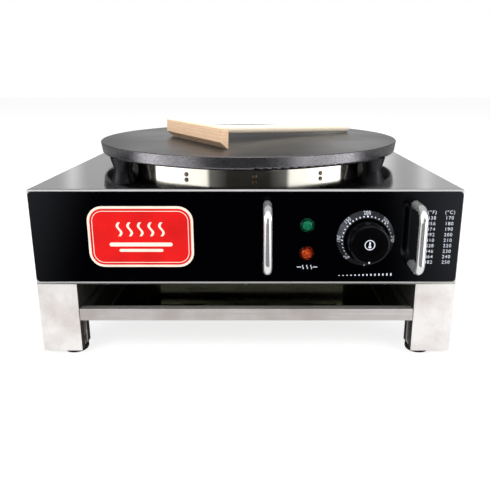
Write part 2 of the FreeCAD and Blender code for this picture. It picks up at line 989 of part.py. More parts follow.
def cut_well_holes(solid, low, high):
    """Holes through a disc of the burner well for the heating loops' ends and the sensor's tube."""
    length = high - low + 2 * cutter_spare
    start = low - cutter_spare
    for point in cold_end_points():
        solid = solid.cut(rod(element_radius + seat_clearance, length, at(point.x, point.y, start)))
    drop = capillary_drop()
    return solid.cut(rod(capillary_radius + seat_clearance, length, at(drop.x, drop.y, start)))


def insulation_disc():
    radius = pan_radius - pan_sheet - seat_clearance
    low = insulation_bottom
    high = insulation_top
    chamfer = pan_floor_rounding
    profile = [(0, low), (radius - chamfer, low), (radius, low + chamfer), (radius, high), (0, high)]
    return cut_well_holes(revolved(profile, at(0, middle_y, 0)), low, high)


def reflector():
    """A shallow steel dish on the insulation, with a turned-up edge."""
    low = insulation_top
    inner = reflector_radius - reflector_dish
    thick = pan_sheet
    profile = [
        (0, low),
        (inner, low),
        (reflector_radius, low + reflector_dish),
        (reflector_radius, low + reflector_dish + thick),
        (inner - thick * math.tan(math.pi / 8), low + thick),
        (0, low + thick),
    ]
    return cut_well_holes(revolved(profile, at(0, middle_y, 0)), low, low + reflector_dish + thick)


def element_clamp():
    """Two crossed bars under the heating loops, notched into one flat cross with a centre hole."""
    half = clamp_half
    wide = clamp_bar_width / 2
    low = clamp_top - clamp_bar_thickness
    cross = block(-half, half, middle_y - wide, middle_y + wide, low, clamp_top)
    cross = cross.fuse(
        block(-wide, wide, middle_y - half, middle_y + clamp_back_length, low, clamp_top)
    ).removeSplitter()
    ends = edges_where(cross, lambda p: near(abs(p.x), half) and near(abs(p.y - middle_y), wide))
    cross = cross.makeFillet(clamp_corner, ends)
    start = at(0, middle_y, low - clamp_bar_thickness)
    return cross.cut(rod(stud_radius + hole_clearance, 3 * clamp_bar_thickness, start))


def clamp_stud():
    """The centre stud in the plate, which carries the clamp with a washer and a nut."""
    low = clamp_top - clamp_bar_thickness
    nut_z = low - sheet - stud_nut_height
    nut_low = at(0, middle_y, nut_z)
    length = plate_bottom + stud_depth - stud_end_gap - (nut_z - stud_tail)
    stud = rod(stud_radius, length, nut_low - up * stud_tail)
    nut = hexagon(stud_nut_across, stud_nut_height, nut_low)
    washer = rod(stud_washer_radius, sheet, nut_low + up * stud_nut_height)
    return stud.fuse(nut).fuse(washer)


# Thermostat, sensor, cut-out and terminals


def bulb_start():
    return at(-bulb_length / 2, middle_y + bulb_y_offset, plate_bottom - bulb_radius)


def capillary_drop():
    start = bulb_start()
    return at(start.x + bulb_length + capillary_run, start.y, 0)


def thermostat_sensor():
    """The bulb against the underside of the plate, and its capillary tube down to the thermostat."""
    start = bulb_start()
    bulb = rod(bulb_radius, bulb_length, start, right_way)
    bulb_end = start + right_way * bulb_length
    drop = capillary_drop()
    body_back = thermostat_front + thermostat_size[1]
    level = min(dial_z + thermostat_port_up, pan_floor - capillary_below_pan)
    landing_x = dial_x - thermostat_port_x
    points = [
        bulb_end,
        at(drop.x, drop.y, bulb_end.z),
        at(drop.x, drop.y, level),
        at(landing_x, drop.y, level),
        at(landing_x, body_back, level),
    ]
    bends = [capillary_first_bend, capillary_bend, capillary_run]
    tube = swept_tube(points, bends, capillary_radius)
    return bulb.fuse(tube)


def sensor_clip():
    """A bent strap that holds the bulb to the underside of the plate."""
    start = bulb_start() + right_way * (clip_from_end - clip_width / 2)
    outer = bulb_radius + clip_sheet

    def strip(half_depth, low, high, spare=0):
        x0 = start.x - spare
        x1 = start.x + clip_width + spare
        return block(x0, x1, start.y - half_depth, start.y + half_depth, low, high)

    solid = rod(outer, clip_width, start, right_way)
    solid = solid.fuse(strip(outer, start.z, plate_bottom))
    solid = solid.fuse(strip(clip_wing, plate_bottom - clip_sheet, plate_bottom))
    bore_start = start - right_way * cutter_spare
    solid = solid.cut(rod(bulb_radius, clip_width + 2 * cutter_spare, bore_start, right_way))
    solid = solid.cut(strip(bulb_radius, start.z, plate_bottom, cutter_spare))
    return solid.cut(strip(outer, plate_bottom, plate_bottom + outer, cutter_spare))


def thermostat_body():
    """The thermostat behind the panel: a block with a bushing through the shell and a bore for the shaft."""
    width, depth, height = thermostat_size
    solid = block(
        dial_x - width / 2,
        dial_x + width / 2,
        thermostat_front,
        thermostat_front + depth,
        dial_z - height / 2,
        dial_z + height / 2,
    )
    along_y = [e for e in solid.Edges if abs(e.tangentAt(e.FirstParameter).y) > 0.99]
    solid = solid.makeFillet(thermostat_corner, along_y)
    face = at(dial_x, panel_face, dial_z)
    solid = solid.fuse(rod(bushing_radius, sheet + fascia_thickness, face, back_way))
    tab_z = dial_z - thermostat_tab_down
    for side in (-1, 1):
        x = dial_x + side * thermostat_tab_x
        y = thermostat_front + depth
        tab = block(x - tab_width / 2, x + tab_width / 2, y, y + tab_length, tab_z, tab_z + tab_thickness)
        solid = solid.fuse(tab)
    bore_length = sheet + fascia_thickness + shaft_depth + shaft_end_gap
    return solid.cut(rod(shaft_radius + shaft_clearance, bore_length, face, back_way))


def high_limit_cutout():
    """A round reset cut-out standing on the bottom cover, with two terminal tabs."""
    base = at(cutout_x, front + cutout_depth, shell_bottom)
    solid = rod(cutout_radius, cutout_flange_height, base)
    solid = solid.fuse(rod(cutout_cap_radius, cutout_height, base))
    for side in (-1, 1):
        x = base.x + side * cutout_tab_x
        top = base.z + cutout_height
        tab = block(
            x - tab_thickness / 2,
            x + tab_thickness / 2,
            base.y - tab_width / 2,
            base.y + tab_width / 2,
            top,
            top + tab_length,
        )
        solid = solid.fuse(tab)
    return solid


def terminal_block():
    """A ceramic terminal block on the bottom cover, with three screw wells and three wire ways."""
    width, depth, height = terminal_size
    y1 = back - terminal_back_gap
    x0 = terminal_x - width / 2
    solid = block(x0, x0 + width, y1 - depth, y1, shell_bottom, shell_bottom + height)
    for i in range(terminal_ways):
        x = x0 + width * (i + 0.5) / terminal_ways
        well = at(x, y1 - depth / 2, shell_bottom + height - terminal_well_depth)
        solid = solid.cut(rod(terminal_well_radius, height, well))
        way = at(x, y1 - depth - cutter_spare, shell_bottom + terminal_way_height)
        solid = solid.cut(rod(terminal_way_radius, depth + 2 * cutter_spare, way, back_way))
    return solid


def gland_axis_point(y):
    return at(gland_x, y, shell_bottom + gland_height)


def cable_gland():
    """The empty cable gland: a hexagon and a domed nut outside, a threaded neck through the panel."""
    face = back + sheet
    body = hexagon(gland_nut_across, gland_nut_height, gland_axis_point(face), back_way)
    dome_start = face + gland_nut_height
    dome_end = dome_start + gland_dome_length
    dome_root = gland_nut_across / 2 - gland_dome_step
    dome = cone(dome_root, gland_dome_radius, gland_dome_length, gland_axis_point(dome_start), back_way)
    dome = dome.makeFillet(gland_dome_rounding, edges_where(dome, lambda p: near(p.y, dome_end)))
    neck = rod(gland_thread_radius, face - (back - gland_neck), gland_axis_point(back - gland_neck), back_way)
    solid = body.fuse(dome).fuse(neck)
    bore_start = back - gland_neck - cutter_spare
    return solid.cut(
        rod(gland_bore_radius, dome_end + cutter_spare - bore_start, gland_axis_point(bore_start), back_way)
    )


def gland_locknut():
    low = back - gland_locknut_height
    nut = hexagon(gland_nut_across, gland_locknut_height, gland_axis_point(low), back_way)
    return nut.cut(rod(gland_thread_radius, gland_locknut_height, gland_axis_point(low), back_way))


# Control panel


def fascia():
    """The black panel over the front: a thin sheet with round corners and a hole for each control."""
    x = half_width - fascia_side_margin
    low = housing_bottom + fascia_bottom_margin
    high = deck_top - fascia_top_margin
    solid = block(-x, x, panel_face, front, low, high)
    along_y = [e for e in solid.Edges if abs(e.tangentAt(e.FirstParameter).y) > 0.99]
    solid = solid.makeFillet(fascia_corner, along_y)
    holes = [(dial_x, dial_z, bushing_radius + hole_clearance)]
    for down in lamp_down.values():
        holes.append((lamp_x, deck_top - down, lamp_body_radius + hole_clearance))
    for point in handle_ends():
        holes.append((point.x, point.z, handle_radius + hole_clearance))
    for x, z, radius in holes:
        start = at(x, panel_face - fascia_thickness, z)
        solid = solid.cut(rod(radius, 3 * fascia_thickness, start, back_way))
    return solid


def dial_bezel():
    """The fixed scale ring round the knob: a hollow cone that stands on the panel."""
    profile = [
        (bezel_outer_radius, 0),
        (bezel_outer_radius, bezel_rim),
        (bezel_inner_radius + bezel_rim, bezel_height),
        (bezel_inner_radius, bezel_height),
        (bezel_inner_radius, bezel_height - bezel_wall),
        (bezel_outer_radius - 2 * bezel_wall, 0),
    ]
    return revolved(profile, at(dial_x, panel_face, dial_z), front_way)


def knob_body():
    """The knob: a drum with a rolled front edge, a shallow dish in its face, a hollow back and a hub."""
    base = knob_gap
    front_end = knob_length
    rounding = knob_edge_rounding
    rolled = rounding * (1 - math.cos(math.pi / 4))
    inner = knob_base_radius - knob_wall
    profile = [
        (shaft_radius + shaft_clearance, base),
        (knob_hub_radius, base),
        (knob_hub_radius, front_end - 3 * knob_wall),
        (knob_front_radius - knob_wall, front_end - 3 * knob_wall),
        (inner, base),
        (knob_base_radius, base),
        (knob_front_radius, front_end - rounding),
        (knob_front_radius - rolled, front_end - rolled),
        (knob_front_radius - rounding, front_end),
        (knob_dish_radius, front_end),
        (knob_dish_radius, front_end - knob_dish_depth - knob_cap_thickness),
        (shaft_radius + shaft_clearance, front_end - knob_dish_depth - knob_cap_thickness),
    ]
    solid = revolved(profile, at(dial_x, panel_face, dial_z), front_way)
    pointer = at(dial_x, panel_face - front_end + pointer_recess, dial_z - pointer_ring)
    return solid.cut(rod(pointer_radius, pointer_recess + cutter_spare, pointer, front_way))


def knob_cap():
    """The disc let into the knob's face."""
    start = at(dial_x, panel_face - knob_length + knob_dish_depth + knob_cap_thickness, dial_z)
    return rod(knob_dish_radius - knob_cap_gap, knob_cap_thickness, start, front_way)


def knob_pointer():
    """The pointer dot in the knob's face, which shows the set temperature on the scale."""
    start = at(dial_x, panel_face - knob_length + pointer_recess, dial_z - pointer_ring)
    return rod(pointer_radius, pointer_recess + pointer_proud, start, front_way)


def thermostat_shaft():
    """The turning shaft, from inside the thermostat to the knob's hub, with a flat at the knob."""
    deep = thermostat_front + shaft_depth
    tip = panel_face - (knob_length - knob_dish_depth - knob_cap_thickness - shaft_tip_gap)
    solid = rod(shaft_radius, deep - tip, at(dial_x, tip, dial_z), back_way)
    flat = block(
        dial_x - 2 * shaft_radius,
        dial_x + 2 * shaft_radius,
        tip - cutter_spare,
        panel_face - knob_gap - shaft_flat_gap,
        dial_z + shaft_flat,
        dial_z + 2 * shaft_radius,
    )
    return solid.cut(flat)


def lamp_centre(name):
    return at(lamp_x, panel_face, deck_top - lamp_down[name])


def lamp_bezel(name):
    profile = [
        (lamp_body_radius, 0),
        (lamp_bezel_radius, 0),
        (lamp_bezel_radius, lamp_bezel_straight),
        (lamp_bezel_radius - lamp_bezel_chamfer, lamp_bezel_height),
        (lamp_lens_radius + lamp_bezel_lip, lamp_bezel_height),
        (lamp_lens_radius, lamp_bezel_height - lamp_bezel_lip),
        (lamp_lens_radius, lamp_bezel_floor),
        (lamp_body_radius, lamp_bezel_floor),
    ]
    return revolved(profile, lamp_centre(name), front_way)


def lamp_lens(name):
    """A domed lens with a straight seat in the bezel."""
    start = lamp_bezel_floor
    seat = start + lamp_lens_seat
    top = lamp_lens_height
    edge = lamp_lens_radius - shaft_clearance
    rise = top - seat
    dome = (edge**2 + rise**2) / (2 * rise)
    half_turn = math.asin(edge / dome) / 2
    crown_mid = at(dome * math.sin(half_turn), 0, top - dome + dome * math.cos(half_turn))
    corners = [at(0, 0, start), at(edge, 0, start), at(edge, 0, seat), at(0, 0, top)]
    edges = [
        Part.LineSegment(corners[0], corners[1]).toShape(),
        Part.LineSegment(corners[1], corners[2]).toShape(),
        Part.Arc(corners[2], crown_mid, corners[3]).toShape(),
        Part.LineSegment(corners[3], corners[0]).toShape(),
    ]
    solid = Part.Face(Part.Wire(edges)).revolve(at(0, 0, 0), up, 360)
    solid.Placement = Placement(lamp_centre(name), Rotation(up, front_way))
    return solid


def lamp_body(name):
    """The lamp's barrel through the panel, with its nut behind and two tabs."""
    face = lamp_centre(name)
    barrel = rod(lamp_body_radius, lamp_body_length, face, back_way)
    nut_start = at(face.x, front + sheet, face.z)
    nut = hexagon(lamp_nut_across, lamp_nut_height, nut_start, back_way)
    solid = barrel.fuse(nut)
    for side in (-1, 1):
        x = face.x + side * lamp_body_radius / 2
        y = face.y + lamp_body_length
        solid = solid.fuse(
            block(
                x - tab_thickness / 2,
                x + tab_thickness / 2,
                y,
                y + lamp_tag_length,
                face.z - lamp_tag_width / 2,
                face.z + lamp_tag_width / 2,
            )
        )
    return solid


# Handles


def bar_handle(name):
    """A round bar bent into a U; its two ends pass the black panel and stand on the shell."""
    x = handle_positions[name]
    top = deck_top - handle_top_down
    low = top - handle_length
    out = front - handle_reach
    points = [at(x, front, top), at(x, out, top), at(x, out, low), at(x, front, low)]
    solid = swept_tube(points, [handle_bend, handle_bend], handle_radius)
    for z in (top, low):
        solid = solid.cut(rod(handle_screw_radius, handle_screw_depth, at(x, front, z), front_way))
    return solid


def handle_screws():
    """A screw with a washer inside the shell for each handle end."""
    solids = []
    hole = handle_screw_radius + hole_clearance
    shank = 2 * sheet + handle_screw_depth - handle_screw_spare
    for point in handle_ends():
        washer_at = point + back_way * sheet
        seat = washer_at + back_way * sheet
        solids.append(ring(handle_washer_radius, hole, sheet, washer_at, back_way))
        solids.append(pan_screw(seat, front_way, shank, handle_screw_radius, handle_screw_head))
    return Part.makeCompound(solids)


# Wooden spreader


def spreader_place(shape):
    """Leans the spreader until its dowel's far end comes down to the plate, turns it and sets it down."""
    lean = math.degrees(math.atan((dowel_height - dowel_radius) / dowel_length))
    leaned = Placement(at(0, 0, 0), Rotation(back_way, lean))
    tip_x, tip_y = spreader_tip
    seat = at(tip_x, middle_y + tip_y, plate_top + spreader_clearance)
    placed = Placement(seat, Rotation(up, spreader_turn))
    shape.Placement = placed.multiply(leaned)
    return shape


def spreader_head():
    """The flat wooden blade: its front is bevelled down to a straight edge below the dowel's side."""
    profile = [
        (0, 0),
        (0, spreader_height),
        (-spreader_thickness, spreader_height),
        (-spreader_thickness, spreader_bevel),
        (-blade_edge, 0),
    ]
    solid = prism(profile, spreader_length, at(0, 0, 0), back_way, right_way)
    socket = at(-dowel_socket, spreader_length / 2, dowel_height)
    solid = solid.cut(rod(dowel_radius, dowel_socket + cutter_spare, socket, right_way))
    return spreader_place(solid)


def spreader_dowel():
    start = at(-dowel_socket, spreader_length / 2, dowel_height)
    solid = rod(dowel_radius, dowel_length + dowel_socket, start, right_way)
    far = edges_where(solid, lambda p: near(p.x, dowel_length))
    solid = solid.makeFillet(dowel_rounding, far)
    return spreader_place(solid)


def build():
    nodes = {
        "housing_shell": housing_shell(),
        "bottom_cover": bottom_cover(),
        "back_panel": back_panel(),
        "bottom_cover_screws": lip_screws(),
        "back_panel_screws": back_screws(),
        "front_fascia": fascia(),
        "heat_ring": heat_ring(),
        "heat_ring_screws": ring_screws(),
        "heater_pan": heater_pan(),
        "insulation_disc": insulation_disc(),
        "heat_reflector": reflector(),
        "element_clamp": element_clamp(),
        "clamp_stud": clamp_stud(),
        "element_terminals": element_terminals(),
        "griddle_plate": griddle_plate(),
        "plate_foot_screws": plate_foot_screws(),
        "thermostat_body": thermostat_body(),
        "thermostat_sensor": thermostat_sensor(),
        "sensor_clip": sensor_clip(),
        "high_limit_cutout": high_limit_cutout(),
        "terminal_block": terminal_block(),
        "cable_gland": cable_gland(),
        "gland_locknut": gland_locknut(),
        "dial_bezel": dial_bezel(),
        "handle_screws": handle_screws(),
        "leg_bolts": leg_bolts(),
        "foot_screws": foot_screws(),
        "rail_rivets": rail_rivets(),
        "tray_pan": tray_pan(),
        "tray_front": tray_front(),
        "thermostat_knob": knob_body(),
        "knob_cap": knob_cap(),
        "knob_pointer": knob_pointer(),
        "thermostat_shaft": thermostat_shaft(),
        "spreader_head": spreader_head(),
        "spreader_dowel": spreader_dowel(),
    }
    for name in element_ring_radii:
        nodes["heating_element_" + name] = element(name)
    for name, angle in plate_foot_angles.items():
        nodes["plate_foot_" + name] = plate_foot(angle)
    for name in lamp_down:
        nodes["lamp_bezel_" + name] = lamp_bezel(name)
        nodes["lamp_lens_" + name] = lamp_lens(name)
        nodes["lamp_body_" + name] = lamp_body(name)
    for name in handle_positions:
        nodes["handle_" + name] = bar_handle(name)
    for side, side_name in ((-1, "left"), (1, "right")):
        nodes["tray_rail_" + side_name] = tray_rail(side)
        for row, row_name in ((-1, "front"), (1, "rear")):
            nodes["leg_" + row_name + "_" + side_name] = leg(side, row)
            nodes["rubber_foot_" + row_name + "_" + side_name] = rubber_foot(side, row)
    return nodes


os.makedirs("parts", exist_ok=True)
for node_name, node_shape in build().items():
    save(node_name, node_shape)
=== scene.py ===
import math

import bpy
from mathutils import Matrix, Vector

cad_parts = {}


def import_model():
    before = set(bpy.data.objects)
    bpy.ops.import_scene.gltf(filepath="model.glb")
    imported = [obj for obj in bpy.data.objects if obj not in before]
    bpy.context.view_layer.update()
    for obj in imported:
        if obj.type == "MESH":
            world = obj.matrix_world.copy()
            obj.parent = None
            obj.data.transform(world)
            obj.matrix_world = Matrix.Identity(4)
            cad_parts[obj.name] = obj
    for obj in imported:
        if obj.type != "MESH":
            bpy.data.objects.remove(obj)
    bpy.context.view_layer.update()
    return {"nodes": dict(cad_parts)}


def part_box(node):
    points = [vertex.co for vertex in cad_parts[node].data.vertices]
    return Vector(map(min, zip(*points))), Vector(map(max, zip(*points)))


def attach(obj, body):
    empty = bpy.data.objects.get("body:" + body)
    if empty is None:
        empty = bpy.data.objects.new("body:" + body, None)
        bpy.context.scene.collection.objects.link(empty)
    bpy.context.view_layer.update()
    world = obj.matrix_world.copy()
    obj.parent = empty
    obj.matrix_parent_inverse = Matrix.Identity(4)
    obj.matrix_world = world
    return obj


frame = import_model()

# Lengths are in metres, MM turns millimetres into them, and angles are in degrees
MM = 0.001

# Camera, fitted to the photograph's perspective
CAMERA_AT = (0.01309, -0.73761, 0.29622)
CAMERA_TILT = 75.46
CAMERA_LENS = 38.21
CAMERA_SENSOR = 36
CAMERA_SHIFT = (-0.0271, -0.0636)
CAMERA_NEAR = 0.01

# Where the CAD has the panel, the dial and the knob
PANEL_FACE, PANEL_BACK = (corner.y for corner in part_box("front_fascia"))
DECK_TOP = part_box("housing_shell")[1].z
DIAL_LOW, DIAL_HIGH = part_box("dial_bezel")
DIAL_X = (DIAL_LOW.x + DIAL_HIGH.x) / 2
DIAL_Z = (DIAL_LOW.z + DIAL_HIGH.z) / 2
KNOB_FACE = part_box("knob_cap")[0].y

# Corners of the CAD's meshes that stay sharp, and how closely a face looks along an axis
SHARP_CORNER = 32
LOOKS_FORWARD = 0.5
LOOKS_ALONG = 0.9
LOOKS_LEVEL = 0.99

# A bead of the tray pan looks up this much and forward less than this
BEAD_UPWARD = (0.2, 0.97)
BEAD_FORWARD = 0.1

# How far behind the panel a face of the housing still belongs to its front
FRONT_DEPTH = 1.0 * MM

# Tray side walls: sheet with a gap to what is round it, and a box's faces by its corners' numbers
WALL_SHEET = 1.1 * MM
WALL_GAP = 0.1 * MM
BOX_FACES = ((0, 1, 3, 2), (4, 6, 7, 5), (0, 4, 5, 1), (2, 3, 7, 6), (0, 2, 6, 4), (1, 5, 7, 3))

# Print: its thickness, how round shapes are divided, and the font
PRINT_THICKNESS = 0.06 * MM
DOT_SIDES = 12
DISC_SIDES = 20
RING_SIDES = 48
CORNER_STEPS = 8
WAVE_STEPS = 16
FONT_DIGIT_SHARE = 0.72
FONT_THINNING = 0.003
FONT_SPACING = 1.2
FONT_STEPS = 6

# Dial scale: a cone, with its numbers and dots at radii from the dial's middle
SCALE_OUTER = 30.0 * MM
SCALE_INNER = 24.4 * MM
SCALE_OUTER_HEIGHT = 0.8 * MM
SCALE_INNER_HEIGHT = 8.5 * MM
SCALE_STEPS = ((50, 225), (100, 180), (150, 135), (200, 90), (250, 45), (300, 0))
SCALE_SPAN = 225
SCALE_DOT_STEP = 9
SCALE_DOT_RING = 25.4 * MM
SCALE_DOT = 0.6 * MM
SCALE_MAIN_DOT = 0.8 * MM
SCALE_NUMBER_RING = 28.1 * MM
SCALE_NUMBER_HEIGHT = 3.1 * MM
OFF_DOT_RING = 29.0 * MM

# Knob mark: a thermometer in a ring
KNOB_MARK_RADIUS = 5.3 * MM
KNOB_MARK_LINE = 0.8 * MM
BULB_RADIUS = 1.5 * MM
BULB_DOWN = 1.9 * MM
STEM_WIDTH = 1.5 * MM
STEM_HEIGHT = 4.9 * MM
STEM_UP = 0.8 * MM

# Temperature table: its columns from the middle, its first row from the deck's top
TABLE_COLUMNS = (192.7 * MM, 211.2 * MM)
TABLE_TOP_DOWN = 24.1 * MM
TABLE_PITCH = 6.04 * MM
TABLE_NUMBER_HEIGHT = 3.7 * MM
TABLE_UNITS = ("(°F)", "(°C)")
TABLE_CELSIUS = range(170, 260, 10)

# Heat mark under the lamps: three waves between two bars; places are (right, down from the deck)
HEAT_MARK = (64.8 * MM, 83.8 * MM)
HEAT_WAVE_STEP = 4.4 * MM
HEAT_WAVE_HEIGHT = 4.4 * MM
HEAT_WAVE_SWING = 0.7 * MM
HEAT_LINE = 0.8 * MM
HEAT_BAR_WIDTH = 4.6 * MM
HEAT_BAR_OUT = 8.6 * MM

# Low-to-high mark under the dial: bars that grow
WEDGE_MARK = (126.7 * MM, 92.2 * MM)
WEDGE_WIDTH = 55.0 * MM
WEDGE_HEIGHT = 3.0 * MM
WEDGE_LEAST = 0.2
WEDGE_BARS = 14
WEDGE_BAR = 1.5 * MM
WEDGE_CORNER = 0.25 * MM
WEDGE_CORNER_STEPS = 3

# Badge: a plate, a raised field in it and raised marks on that
BADGE_MIDDLE = (-109.5 * MM, 50.5 * MM)
BADGE_SIZE = (110.0 * MM, 66.0 * MM)
BADGE_CORNER = 16.0 * MM
BADGE_THICKNESS = 0.5 * MM
BADGE_FIELD_RISE = 0.25 * MM
BADGE_MARK_RISE = 0.4 * MM
BADGE_BORDER = 2.6 * MM
BADGE_LINE_GAP = 2.2 * MM
BADGE_LINE = 0.7 * MM
BADGE_WAVES = 5
BADGE_WAVE_STEP = 11 * MM
BADGE_WAVE_HEIGHT = 15 * MM
BADGE_WAVE_SWING = 2.0 * MM
BADGE_WAVE_LINE = 2.6 * MM
BADGE_WAVE_UP = 8.5 * MM
BADGE_BARS = ((66 * MM, 4.2 * MM, 8.0 * MM), (46 * MM, 3.2 * MM, 14.5 * MM))
BADGE_CREAM = (0.93, 0.78, 0.66)
BADGE_RED = (0.7, 0.004, 0.004)

# How the spreader lies on the griddle; its grain follows it
SPREADER_TURN = 30.9

# Textures: the range that a noise's values mostly fill, a stain's tint, the speckle's size, and how
# many of a lens's cells lie in a metre
NOISE_SPAN = (0.3, 0.7)
STAIN = (0.8, 0.765, 0.75)
SPECKLE = 0.8 * MM
LENS_CELLS = 420

# Stops of light that metal sees in the room, as (place, level)
# Ahead, a place is slope / (1 + slope) away from straight ahead; behind, it is the direction's x
ROOM_BRIGHTEST = 5.0
ROOM_AHEAD = (
    (0.0, 0.04),
    (0.24, 0.04),
    (0.31, 0.14),
    (0.40, 0.3),
    (0.43, 2.2),
    (0.6, 2.6),
    (0.85, 5.0),
    (1.0, 5.0),
)
ROOM_BEHIND = (
    (-1.0, 0.06),
    (-0.6, 0.06),
    (-0.42, 0.5),
    (-0.355, 0.5),
    (-0.335, 0.85),
    (-0.315, 0.5),
    (-0.26, 0.5),
    (-0.22, 1.0),
    (-0.14, 1.0),
    (-0.07, 0.14),
    (0.08, 0.14),
    (0.15, 1.05),
    (0.22, 1.05),
    (0.26, 0.5),
    (0.285, 0.5),
    (0.305, 0.85),
    (0.325, 0.58),
    (0.42, 0.58),
    (0.6, 0.06),
    (1.0, 0.06),
)
ROOM_SEAM = (-0.02, 0.02)
CEILING_BEHIND = 0.3
CEILING_AHEAD = 1.3
CEILING_SEAM = (-0.3, 0.1)
CEILING_EDGE = (0.3, 0.55)
ROOM_FOR_DULL = 0.6

# The floor that metal sees: a dark wedge ahead with its point behind the object
# To its left and right: the slopes where it ends, and the level past them
FLOOR_REACH = 8.0
WEDGE_POINT = 0.57
FLOOR_DARK = 0.03
FLOOR_LEFT = (0.25, 0.4, 1.2)
FLOOR_RIGHT = (0.2, 0.37, 1.8)
FLOOR_NEAR = 0.85
FLOOR_NEAR_EDGE = (-0.43, -0.38)
FLOOR_BEHIND = 0.3
FLOOR_BEHIND_EDGE = (-0.24, -0.15)

# The floor that is seen: a glow, and a share that takes the shadow; dull surfaces see a plain one
FLOOR_GLOW = 0.78
FLOOR_SHADED = (0.3, 0.3, 0.3, 1)
FLOOR_PLAIN = (0.82, 0.82, 0.82, 1)

# Lamps: name, place, size and power
LAMP_AIM = (0, 0, 0.1)
LAMPS = (
    ("key", (-1.5, -1.6, 1.9), 1.3, 38),
    ("fill", (1.7, -1.4, 1.5), 1.3, 25),
    ("top", (0, 0.3, 2.4), 1.8, 46),
)

# Keeps a slope from being divided by nothing
LEAST_AHEAD = 0.001
LEAST_FLOOR_AHEAD = 0.01

# Plain finishes. rough is the roughness from and to, and wear the scale and detail of its unevenness.
# grain is the scale, detail, strength and depth of a fine bump; mottle the scale, detail and colours.
# Near-black steel as painted shade, for faces that lie in shade under the housing and inside the legs
PAINTED_SHADE_STEEL = {
    "color": (0.03, 0.03, 0.028),
    "metallic": 0.4,
    "rough": (0.6, 0.8),
    "wear": (120, 3),
    "specular": 0.15,
}
BLACK_GLOSS = {"color": (0.001, 0.001, 0.0015), "wear": (80, 3), "specular": 0.2}
FINISHES = {
    "dull_steel": {
        "color": (0.34, 0.34, 0.34),
        "metallic": 1.0,
        "rough": (0.38, 0.6),
        "wear": (200, 3),
        "mottle": (60, 4, ((0.35, (0.30, 0.30, 0.30)), (0.65, (0.42, 0.42, 0.43)))),
    },
    # Painted shade: the tray's rails, the legs' inward faces, the tray pan's beads and side faces, and the
    # tray's side walls
    "rail_painted_shade": PAINTED_SHADE_STEEL,
    "leg_inside_painted_shade": PAINTED_SHADE_STEEL,
    "tray_bead_painted_shade": PAINTED_SHADE_STEEL,
    "side_wall_painted_shade": PAINTED_SHADE_STEEL,
    "ground_sheet": {
        "color": (0.46, 0.455, 0.46),
        "metallic": 0.3,
        "rough": (0.4, 0.6),
        "wear": (900, 3),
        "wear_run": (0.1, 1, 1),
    },
    "zinc_screws": {"color": (0.62, 0.62, 0.6), "metallic": 1.0, "rough": (0.24, 0.45), "wear": (400, 3)},
    "tinted_screws": {"color": (0.2, 0.14, 0.09), "metallic": 1.0, "rough": (0.38, 0.55), "wear": (600, 3)},
    "chrome_bar": {"color": (0.86, 0.86, 0.87), "metallic": 0.82, "rough": (0.1, 0.18), "wear": (60, 3)},
    "spun_bezel": {"color": (0.066, 0.069, 0.08), "metallic": 1.0, "rough": (0.24, 0.36), "wear": (500, 3)},
    "copper_tube": {"color": (0.62, 0.34, 0.2), "metallic": 1.0, "rough": (0.22, 0.45), "wear": (200, 3)},
    "element_tube": {
        "color": (0.2, 0.19, 0.18),
        "metallic": 0.9,
        "rough": (0.5, 0.5),
        "mottle": (30, 4, ((0.3, (0.1, 0.1, 0.12)), (0.6, (0.24, 0.2, 0.16)))),
    },
    "black_panel": {
        "color": (0.0001, 0.0001, 0.0006),
        "rough": (0.07, 0.1),
        "wear": (30, 4),
        "grain": (2500, 2, 0.04, 0.02 * MM),
        "specular": 0.2,
        "tint": (0.86, 0.9, 1.0, 1.0),
    },
    "griddle_under": {
        "color": (0.004, 0.004, 0.004),
        "rough": (0.7, 0.95),
        "wear": (200, 4),
        "grain": (700, 3, 0.3, 0.2 * MM),
        "specular": 0.1,
    },
    "knob_body": {**BLACK_GLOSS, "rough": (0.14, 0.22)},
    "knob_cap": {**BLACK_GLOSS, "rough": (0.12, 0.2)},
    "black_moulding": {
        "color": (0.02, 0.02, 0.021),
        "rough": (0.5, 0.68),
        "wear": (300, 3),
        "grain": (1800, 2, 0.15, 0.05 * MM),
    },
    "foot_rubber": {
        "color": (0.006, 0.006, 0.006),
        "rough": (0.65, 0.85),
        "wear": (200, 3),
        "grain": (1200, 3, 0.25, 0.08 * MM),
        "specular": 0.2,
    },
    "ceramic": {"color": (0.8, 0.78, 0.72), "rough": (0.3, 0.45), "wear": (250, 3)},
    "insulation_wool": {
        "color": (0.82, 0.8, 0.74),
        "rough": (0.95, 0.95),
        "grain": (400, 5, 0.6, 0.5 * MM),
    },
    "white_print": {"color": (0.72, 0.76, 0.86), "rough": (0.4, 0.55), "wear": (900, 2)},
}


# Node helpers for materials


def new_material(name, color, metallic, roughness, specular=0.5):
    """A Principled material with plain values on its own sockets."""
    made = bpy.data.materials.new(name)
    made.use_nodes = True
    inputs = shader_of(made).inputs
    inputs["Base Color"].default_value = (*color, 1.0)
    inputs["Metallic"].default_value = metallic
    inputs["Roughness"].default_value = roughness
    inputs["Specular IOR Level"].default_value = specular
    return made


def shader_of(made):
    return made.node_tree.nodes["Principled BSDF"]


def feed(made, socket, value):
    made.node_tree.links.new(value, shader_of(made).inputs[socket])


def place(made, turn=0.0, stretch=(1.0, 1.0, 1.0)):
    """Object coordinates, turned about Z by some degrees and then stretched."""
    tree = made.node_tree
    coordinates = tree.nodes.new("ShaderNodeTexCoord")
    turned = tree.nodes.new("ShaderNodeVectorRotate")
    turned.rotation_type = "Z_AXIS"
    turned.inputs["Angle"].default_value = math.radians(turn)
    scaled = tree.nodes.new("ShaderNodeMapping")
    scaled.inputs["Scale"].default_value = stretch
    tree.links.new(coordinates.outputs["Object"], turned.inputs["Vector"])
    tree.links.new(turned.outputs["Vector"], scaled.inputs["Vector"])
    return scaled.outputs["Vector"]


